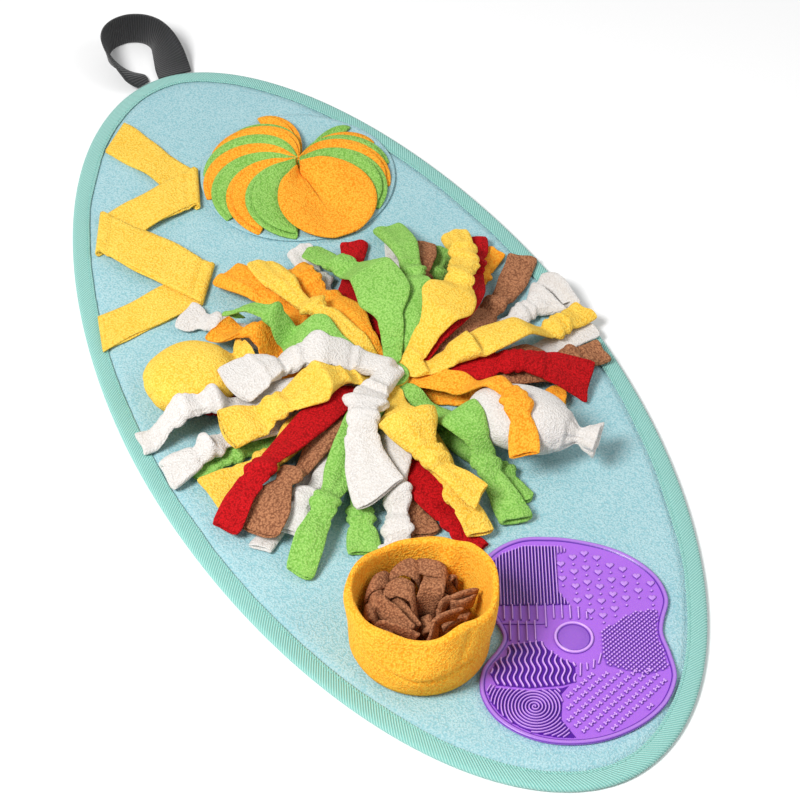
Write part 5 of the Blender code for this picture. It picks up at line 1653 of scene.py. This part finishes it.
# %% [markdown]
# ## The curls in the basket
# Short strips of brown fleece fill the basket. They stand in a round patch and curl over one another.
# Each is placed where the photograph shows it: a spot of the picture and a height give a point in
# space, through the camera. A ribbon then follows three to five of those points.


# %% From the picture to the mat
HALF_PICTURE = 400.0  # pixels
# The curls were read in an enlarged view of the basket: its corner in the picture, and its scale.
CURL_VIEW = (335.0, 530.0, 8.96)


def from_photo(x, y, z, view=(0.0, 0.0, 1.0)):
    """The point at height z (mm) that the photograph shows at pixel x, y, or at x, y of an enlarged view."""
    left, top, zoom = view
    x, y = left + x / zoom, top + y / zoom
    half_view = SENSOR * 0.5 / LENS
    ray = CAMERA_FORWARD + CAMERA_RIGHT * ((x - HALF_PICTURE) / HALF_PICTURE * half_view)
    ray = ray + CAMERA_UP * ((HALF_PICTURE - y) / HALF_PICTURE * half_view)
    start = CAMERA_AT / MM
    point = start + ray * ((z - start.z) / ray.z)
    return np.array(point)


print("a spot above the basket's rim:", from_photo(400.0, 600.0, 40.0).round(1))

# %% Where the curls run
Curl = namedtuple("Curl", "width side path")
# side: the way the ribbon's width runs. The path's rows are x, y in that view, and the height.
CURLS = [
    Curl(12, "depth", [
        (400, 720, 20), (420, 600, 34), (560, 505, 43), (690, 570, 42), (715, 700, 32), (740, 860, 20),
    ]),
    Curl(13, "across", [(800, 800, 18), (800, 700, 28), (860, 560, 41), (890, 470, 43), (900, 420, 36)]),
    Curl(12, "depth", [(690, 400, 22), (720, 300, 38), (850, 320, 42), (990, 370, 40), (1000, 480, 26)]),
    Curl(13, "depth", [(470, 520, 18), (480, 390, 34), (620, 310, 42), (740, 380, 40), (770, 470, 28)]),
    Curl(12, "depth", [(215, 660, 22), (250, 540, 36), (350, 450, 41), (460, 440, 37), (500, 520, 22)]),
    Curl(11, "depth", [(300, 700, 22), (320, 610, 36), (390, 570, 39), (430, 620, 34), (440, 720, 22)]),
    Curl(12, "tilted", [(370, 660, 38), (460, 730, 38), (560, 820, 36), (660, 920, 33)]),
    Curl(10, "tilted", [(480, 640, 33), (560, 700, 34), (640, 790, 32), (720, 890, 29)]),
    Curl(12, "upright", [(985, 680, 34), (1080, 630, 39), (1200, 585, 41), (1310, 570, 38)]),
    Curl(12, "upright", [(975, 650, 29), (1080, 690, 35), (1200, 660, 37), (1290, 600, 33)]),
    Curl(12, "upright", [(870, 930, 32), (900, 850, 37), (990, 790, 39), (1110, 750, 37)]),
    Curl(11, "upright", [(440, 870, 36), (540, 890, 37), (640, 930, 36), (730, 965, 34)]),
    Curl(11, "depth", [(240, 800, 26), (270, 740, 36), (340, 740, 38), (390, 840, 28)]),
    Curl(12, "across", [(1080, 520, 16), (1060, 450, 26), (1020, 400, 33), (960, 420, 34)]),
    Curl(11, "depth", [(840, 900, 18), (780, 860, 25), (850, 830, 28), (900, 880, 20)]),
    Curl(11, "across", [(560, 640, 16), (590, 600, 25), (620, 660, 28), (640, 740, 22)]),
    Curl(12, "depth", [(1170, 600, 16), (1150, 690, 24), (1070, 770, 27), (960, 850, 22)]),
    Curl(11, "across", [(1010, 880, 16), (1080, 800, 24), (1130, 760, 25), (1180, 770, 18)]),
    Curl(11, "depth", [(900, 420, 16), (960, 470, 26), (1040, 500, 29), (1100, 560, 22)]),
]
SIDES = {
    "depth": np.array((-0.895, 0.446, 0.0)),
    "across": np.array((0.43, 0.903, 0.0)),
    "upright": np.array((0.25, -0.1, 0.96)),
    "tilted": np.array((0.30, 0.62, 0.72)),
}
print("ways that curls turn:", ", ".join(SIDES))


# %% A ribbon that stays in the basket
# The basket's inner radius low down, how it widens upwards, and the share of it where curls move freely.
INSIDE_LOW, INSIDE_SLOPE, FREE = 31.5, 0.085, 0.85


def ribbon_grid(path, side, width, columns=7):
    """A ribbon's grid: rows along a smooth path, its width turned square to the path."""
    line = smooth_curve(path, 34)
    along = unit(np.gradient(line, axis=0))
    grid = np.zeros((len(line), columns, 3))
    for i, (point, way) in enumerate(zip(line, along)):
        out = unit(side - way * (side @ way))
        normal = np.cross(way, out)
        for j in range(columns):
            share = j / (columns - 1) - 0.5
            cup = 0.9 * math.sin(2.0 + i * 0.13) * (share * 2.0) ** 2
            grid[i, j] = point + out * width * share * (1.0 + 0.05 * math.sin(i * 0.4)) + normal * cup
    return grid


def kept_in_basket(grid):
    """The grid pressed back inside the wall: the nearer a point is to the wall, the more it gives way."""
    grid = grid.copy()
    out = grid[..., :2] - np.array(BASKET_AT)
    share = np.linalg.norm(out, axis=-1) / (INSIDE_LOW + INSIDE_SLOPE * grid[..., 2])
    pressed = np.where(share > FREE, 1.0 - (1.0 - FREE) * np.exp(-(share - FREE) / (1.0 - FREE)), share)
    grid[..., :2] = np.array(BASKET_AT) + out * (pressed / np.maximum(share, 1e-6))[..., None]
    return grid


print("room for curls at the floor:", INSIDE_LOW, "mm")

# %% The patch and its curls
CURL_THICK, CURL_PATCH_THICK = 2.0, 1.2
ROOT_Z = 9.0

grid = disc_grid(BASKET_AT, (0.5, 8.0, 15.0, 22.0, 27.0, 27.8), 36, 8.4)
shape = cloth_mesh(grid, CURL_PATCH_THICK, closed=True)
brown_patch = add_piece("curl_patch", shape, FLEECE["brown"], ["basket_tuft"])
for index, curl in enumerate(CURLS):
    path = [from_photo(*spot, CURL_VIEW) for spot in curl.path]
    # Each curl is rooted in the patch, under its first point and drawn in towards the middle.
    root = path[0] * 0.7 + np.array((*BASKET_AT, ROOT_Z)) * 0.3
    root[2] = ROOT_Z
    grid = kept_in_basket(ribbon_grid([root] + path, SIDES[curl.side], curl.width))
    shape = cloth_mesh(grid, CURL_THICK)
    piece = add_piece(f"curl_{index + 1}", shape, FLEECE["brown"], ["basket_tuft"])
    length = run_along(grid[:, 3])[-1]
print("curls:", len(CURLS))

# %% [markdown]
# ## The lick pad
# A moulded silicone pad with a raised rim and fields of ribs, waves, a spiral, hearts, dots and
# bones, so that soft food sticks in many ways. Each field is a pattern in the pad's plane that is
# clipped to its outline. The outlines were read in an enlarged view of the picture, corner by corner.

# %% The plate and its rim
PAD_AT = (251.0, 24.0)
PAD_TURN = -25.5  # degrees, the direction of its long axis
PAD_LOW = 4.3
PAD_PLATE = 1.6
# The rim's section: how far in from the outline, and how high.
PAD_SECTION = [
    (0.9, 0.0), (0.25, 0.2), (0.0, 0.7), (0.0, 1.8), (0.25, 2.3), (0.8, 2.6), (1.7, 2.65),
    (2.3, 2.45), (2.7, 2.0), (3.0, PAD_PLATE + 0.1), (3.5, PAD_PLATE),
]
# Direction from the ring, in degrees from the long axis, and distance to the outline.
PAD_OUTLINE = [
    (0, 79), (20, 75.5), (45, 71), (62, 65.5), (75, 58), (90, 52.5), (102, 55), (115, 63.5),
    (130, 68.5), (150, 71), (172, 72.5), (190, 76), (203, 79.5), (218, 78.5), (232, 73), (245, 61),
    (256, 50), (266, 44.5), (276, 43.2), (286, 49), (296, 62), (308, 72.5), (322, 79), (340, 81),
]


def pad_radius(turn):
    """The outline as a smooth closed curve through its rows."""
    turn %= 360.0
    count = len(PAD_OUTLINE)
    for i in range(count):
        start = PAD_OUTLINE[i][0]
        end = PAD_OUTLINE[(i + 1) % count][0] + (360 if i == count - 1 else 0)
        if start <= turn < end:
            break
    near = [PAD_OUTLINE[(i + k) % count][1] for k in (-1, 0, 1, 2)]
    return between(*near, (turn - start) / (end - start))


def pad_outline(steps):
    turns = np.arange(steps) * 360.0 / steps
    radii = np.array([pad_radius(turn) for turn in turns])
    ways = np.radians(turns + PAD_TURN)
    points = np.stack([np.cos(ways), np.sin(ways)], axis=1) * radii[:, None]
    return points, unit(quarter_turn(np.roll(points, -1, axis=0) - np.roll(points, 1, axis=0)))


def plate_mesh():
    points, inwards = pad_outline(216)
    rings = []
    # From the middle of the underside, round the raised rim, to the middle of the plate.
    rows = [(0.05, 0.9, 0.0)] + [(1.0, inset, z) for inset, z in PAD_SECTION]
    rows += [(share, 3.5, PAD_PLATE) for share in (0.85, 0.65, 0.45, 0.25, 0.05)]
    for share, inset, z in rows:
        rings.append(np.column_stack([(points + inwards * inset) * share, np.full(len(points), z)]))
    return tube_mesh(np.array(rings) + np.array((*PAD_AT, PAD_LOW)))


print("plate:", len(plate_mesh()[1]), "faces")

# %% Outlines of the fields, in an enlarged view of the picture
PAD_VIEW = (475.0, 535.0, 7.293)
RELIEF_HIGH = 1.7
PLATE_TOP = PAD_LOW + PAD_PLATE
FIELD_Z = PLATE_TOP + RELIEF_HIGH
# The floors are painted shade: thin trays whose height picks the deep purple of the pad's colours.
DEEP_SHADE_FLOOR, DIM_SHADE_FLOOR = 0.12, 0.04  # floors between the ribs and between the dots, over the plate
FINE_SHADE_FLOOR = [(120, 190), (190, 130), (350, 70), (590, 70), (604, 395), (690, 498), (150, 505)]
CROSS_RIB = ((160, 637), (505, 637))
FINE_RIBS = [
    (120, 190), (190, 130), (350, 70), (645, 72), (660, 115), (588, 132), (604, 395), (690, 498), (150, 505),
]
WIDE_RIBS = [
    [
        (130, 512), (400, 492), (680, 500), (860, 572), (838, 604), (560, 602), (552, 668), (505, 668),
        (500, 610), (130, 612),
    ],
    [(130, 619), (492, 619), (497, 668), (470, 758), (290, 772), (205, 738), (150, 690)],
]
WAVY_RIBS = [
    (243, 790), (480, 762), (532, 820), (640, 895), (732, 930), (738, 1062), (640, 1088), (400, 1108),
    (155, 1085), (112, 1000), (160, 905), (232, 868),
]
SHORT_RIBS = [
    ((770, 932), (768, 1020)), ((815, 930), (820, 975)), ((868, 905), (864, 962)), ((920, 862), (902, 930)),
]
SPIRAL = [
    (75, 1050), (160, 1103), (400, 1124), (640, 1104), (672, 1066), (690, 1086), (632, 1150), (640, 1200),
    (632, 1335), (748, 1475), (700, 1512), (480, 1500), (225, 1395), (105, 1230), (80, 1120),
]
SPIRAL_AT = (437, 1245)
BONES = [
    (655, 1165), (825, 995), (965, 990), (1195, 975), (1390, 1010), (1448, 1070), (1440, 1160), (1385, 1300),
    (1240, 1400), (1050, 1470), (890, 1512), (780, 1440), (672, 1345),
]
DOTS = [
    (922, 690), (1160, 545), (1335, 535), (1352, 700), (1382, 850), (1415, 960), (1260, 1012), (1100, 975),
    (960, 940), (930, 860),
]
# Each column of hearts: the place of its farthest heart and how many there are.
HEART_COLUMNS = [
    (626, 205, 2), (712, 155, 4), (797, 128, 5), (888, 160, 5), (984, 215, 4), (1078, 243, 3),
    (1180, 293, 2), (1282, 347, 2),
]
HEART_STEP = (11.5, 105)
RIB_LINE = ((365, 90), (385, 485))  # one fine rib, which gives the ribs' direction
RING_AT = (722, 738)


def pad_spot(x, y):
    return from_photo(x, y, FIELD_Z, PAD_VIEW)[:2]


def field(corners):
    return np.array([pad_spot(*corner) for corner in corners])


def inside(point, outline):
    x, y = point
    ax, ay = outline[:, 0], outline[:, 1]
    bx, by = np.roll(ax, -1), np.roll(ay, -1)
    crossed = ((ay > y) != (by > y)) & (x < (bx - ax) * (y - ay) / (by - ay + 1e-12) + ax)
    return crossed.sum() % 2 == 1


def inside_pad(point, margin):
    x, y = point - np.array(PAD_AT)
    return math.hypot(x, y) < pad_radius(math.degrees(math.atan2(y, x)) - PAD_TURN) - margin


print("the ring's middle:", pad_spot(*RING_AT).round(1))


# %% Ridges, bumps and hearts
# A rib's section: across it, and the height. A bump's: the size of its outline, and the height.
RIB_SECTION = ((-0.5, -0.4), (-0.44, 0.7), (-0.22, 1.0), (0.22, 1.0), (0.44, 0.7), (0.5, -0.4))
BUMP_SECTION = ((1.0, -0.4), (0.97, 0.55), (0.84, 0.9), (0.6, 1.0), (0.1, 1.0))


def ridge_mesh(line, width, high):
    """A rounded rib along a line of points in the plane, rising from just inside the plate."""
    line = np.asarray(line, float)
    along = unit(np.gradient(line, axis=0))
    across = quarter_turn(along)
    spots = [(line[0] - along[0] * 0.3, across[0], 0.45)]
    spots += [(point, side, 1.0) for point, side in zip(line, across)]
    spots.append((line[-1] + along[-1] * 0.3, across[-1], 0.45))
    rings = []
    for point, side, size in spots:
        heights = [PLATE_TOP + high * (h if h < 0 else h * size) for _, h in RIB_SECTION]
        rings.append([(*(point + side * s * width), z) for (s, _), z in zip(RIB_SECTION, heights)])
    return tube_mesh(rings)


def bump_mesh(outline, at, high):
    """A low dome over a small closed outline."""
    rings = []
    for size, h in BUMP_SECTION:
        rings.append([(*(at + corner * size), PLATE_TOP + h * high) for corner in outline])
    return tube_mesh(rings)


def kept_runs(line, keep):
    runs, run = [], []
    for point in line:
        if keep(point):
            run.append(point)
        else:
            runs.append(run)
            run = []
    runs.append(run)
    return [run for run in runs if len(run) > 2]


rib_start, rib_end = (pad_spot(*spot) for spot in RIB_LINE)
RIB_WAY = (rib_end - rib_start) / np.linalg.norm(rib_end - rib_start)
RIB_SIDE = quarter_turn(RIB_WAY)


def ribs_in(corners, pitch, width, wave=0.0, wavelength=1.0, margin=4.2):
    """Parallel ribs through a field, straight or wavy."""
    outline = field(corners)
    middle = outline.mean(axis=0)
    reach = np.linalg.norm(outline - middle, axis=1).max()
    parts = []
    for k in range(-int(reach / pitch) - 1, int(reach / pitch) + 2):
        line = []
        for run in np.arange(-reach, reach, 0.6):
            sway = wave * math.sin(TURN * run / wavelength)
            line.append(middle + RIB_WAY * run + RIB_SIDE * (k * pitch + sway))
        for kept in kept_runs(line, lambda p: inside(p, outline) and inside_pad(p, margin)):
            step = 1 if wave else max(1, len(kept) - 1)
            parts.append(ridge_mesh(kept[::step], width, RELIEF_HIGH))
    return parts


# %% Fill the fields
def floor_mesh_of(corners, height, margin=4.0):
    """A thin tray of painted shade on the plate under a field. Its height picks its dark colour."""
    outline = field(corners)
    middle = outline.mean(axis=0)
    edge = []
    for k in range(len(outline)):
        for t in np.linspace(0.0, 1.0, 12)[:-1]:
            point = outline[k] + (outline[(k + 1) % len(outline)] - outline[k]) * t
            while not inside_pad(point, margin):
                point = point + (middle - point) * 0.03
            edge.append(point)
    rings = [[(*point, PLATE_TOP + h) for point in edge] for h in (-0.3, height)]
    for share in (0.7, 0.4, 0.1):
        rings.append([(*(middle + (point - middle) * share), PLATE_TOP + height) for point in edge])
    return tube_mesh(rings)


# A floor has to be seen whole from its middle, so two corners of the spiral's field are left out of it.
# Trays of painted shade under the close ribs, the spiral and the dots.
relief = [floor_mesh_of(corners, DEEP_SHADE_FLOOR) for corners in (FINE_SHADE_FLOOR, WAVY_RIBS, SPIRAL[1:4] + SPIRAL[5:])]
relief.append(floor_mesh_of(DOTS, DIM_SHADE_FLOOR))
relief += ribs_in(FINE_RIBS, 2.0, 0.85)
for corners in WIDE_RIBS:
    relief += ribs_in(corners, 4.9, 1.0, margin=3.6)
relief += ribs_in(WAVY_RIBS, 3.5, 1.25, wave=1.0, wavelength=13.0, margin=3.6)
relief.append(ridge_mesh([pad_spot(*spot) for spot in CROSS_RIB], 0.9, RELIEF_HIGH * 0.6))
for start, end in SHORT_RIBS:
    relief.append(ridge_mesh([pad_spot(*start), pad_spot(*end)], 1.1, RELIEF_HIGH))

spiral_field, spiral_at = field(SPIRAL), pad_spot(*SPIRAL_AT)
SPIRAL_PITCH = 2.0
line = []
for turn in np.arange(0.6, TURN * 17, 0.09):
    radius = SPIRAL_PITCH * turn / TURN
    line.append(spiral_at + radius * np.array((math.cos(turn), math.sin(turn))))
for kept in kept_runs(line, lambda p: inside(p, spiral_field) and inside_pad(p, 3.8)):
    relief.append(ridge_mesh(kept[::2] if len(kept) > 6 else kept, 1.0, RELIEF_HIGH * 0.85))

# The way right and the way up in the picture, laid in the pad's plane.
PICTURE_RIGHT = unit(pad_spot(1000, 700) - pad_spot(500, 700))
PICTURE_UP = quarter_turn(PICTURE_RIGHT)


def polygon(radius, corners):
    turns = np.arange(corners) * TURN / corners
    return np.stack([np.cos(turns), np.sin(turns)], axis=1) * radius


def heart_outline(size):
    turns = np.arange(20) * TURN / 20
    x = 16.0 * np.sin(turns) ** 3
    y = 13.0 * np.cos(turns) - 5.0 * np.cos(2 * turns) - 2.0 * np.cos(3 * turns) - np.cos(4 * turns)
    return (x[:, None] * PICTURE_RIGHT + (y[:, None] + 2.0) * PICTURE_UP) * size / 32.0


def spots_in(outline, margin, start, step, row):
    """The spots of a lattice that lie in a field and on the pad."""
    reach = range(-20, 21)
    spots = [start + step * i + row * j for i in reach for j in reach]
    return [spot for spot in spots if inside(spot, outline) and inside_pad(spot, margin)]


print("a heart's outline has", len(heart_outline(1.0)), "points")

# %% Hearts, dots, bones and the ring
hearts = 0
for x, y, count in HEART_COLUMNS:
    for k in range(count):
        at = pad_spot(x + HEART_STEP[0] * k, y + HEART_STEP[1] * k)
        relief.append(bump_mesh(heart_outline(5.3), at, 1.25))
        dot = pad_spot(x + HEART_STEP[0] * (k + 0.5), y + HEART_STEP[1] * (k + 0.5))
        relief.append(bump_mesh(polygon(0.7, 8), dot, 1.5))
        hearts += 1

DOT_PITCH = 2.15
dot_field = field(DOTS)
dot_step = (PICTURE_RIGHT + PICTURE_UP) / math.sqrt(2.0) * DOT_PITCH
dots = spots_in(dot_field, 4.2, dot_field.mean(axis=0), dot_step, quarter_turn(dot_step))
relief += [bump_mesh(polygon(0.68, 8), at, 1.6) for at in dots]

bone_at = pad_spot(690, 1160)
bone_step, bone_row = pad_spot(742, 1113) - bone_at, pad_spot(744, 1199) - bone_at
bone_way = bone_step / np.linalg.norm(bone_step)
bone_side = quarter_turn(bone_way)
bones = spots_in(field(BONES), 6.0, bone_at, bone_step, bone_row)
for at in bones:
    relief.append(ridge_mesh([at - bone_way * 1.1, at + bone_way * 1.1], 0.95, 1.5))
    for along, aside in ((-1.5, -0.6), (-1.5, 0.6), (1.5, -0.6), (1.5, 0.6)):
        relief.append(bump_mesh(polygon(0.7, 8), at + bone_way * along + bone_side * aside, 1.6))

ring_at = pad_spot(*RING_AT)
ring_rows = [
    (12.0, -0.5), (11.8, 0.9), (11.3, 1.55), (10.6, 1.6), (10.1, 1.3), (9.85, 0.4), (9.6, 0.3),
    (9.3, 0.5), (8.9, 0.68), (4.0, 0.72), (0.5, 0.72),
]
ring_lines = [[(*(ring_at + p), PLATE_TOP + z) for p in polygon(radius, 64)] for radius, z in ring_rows]
relief.append(tube_mesh(ring_lines))

pad = add_piece("lick_pad_silicone", join_meshes([plate_mesh()] + relief), SILICONE, ["lick_pad"])
pad.data.set_sharp_from_angle(angle=math.radians(50))
print("hearts:", hearts, "dots:", len(dots), "bones:", len(bones), "faces:", len(pad.data.polygons))
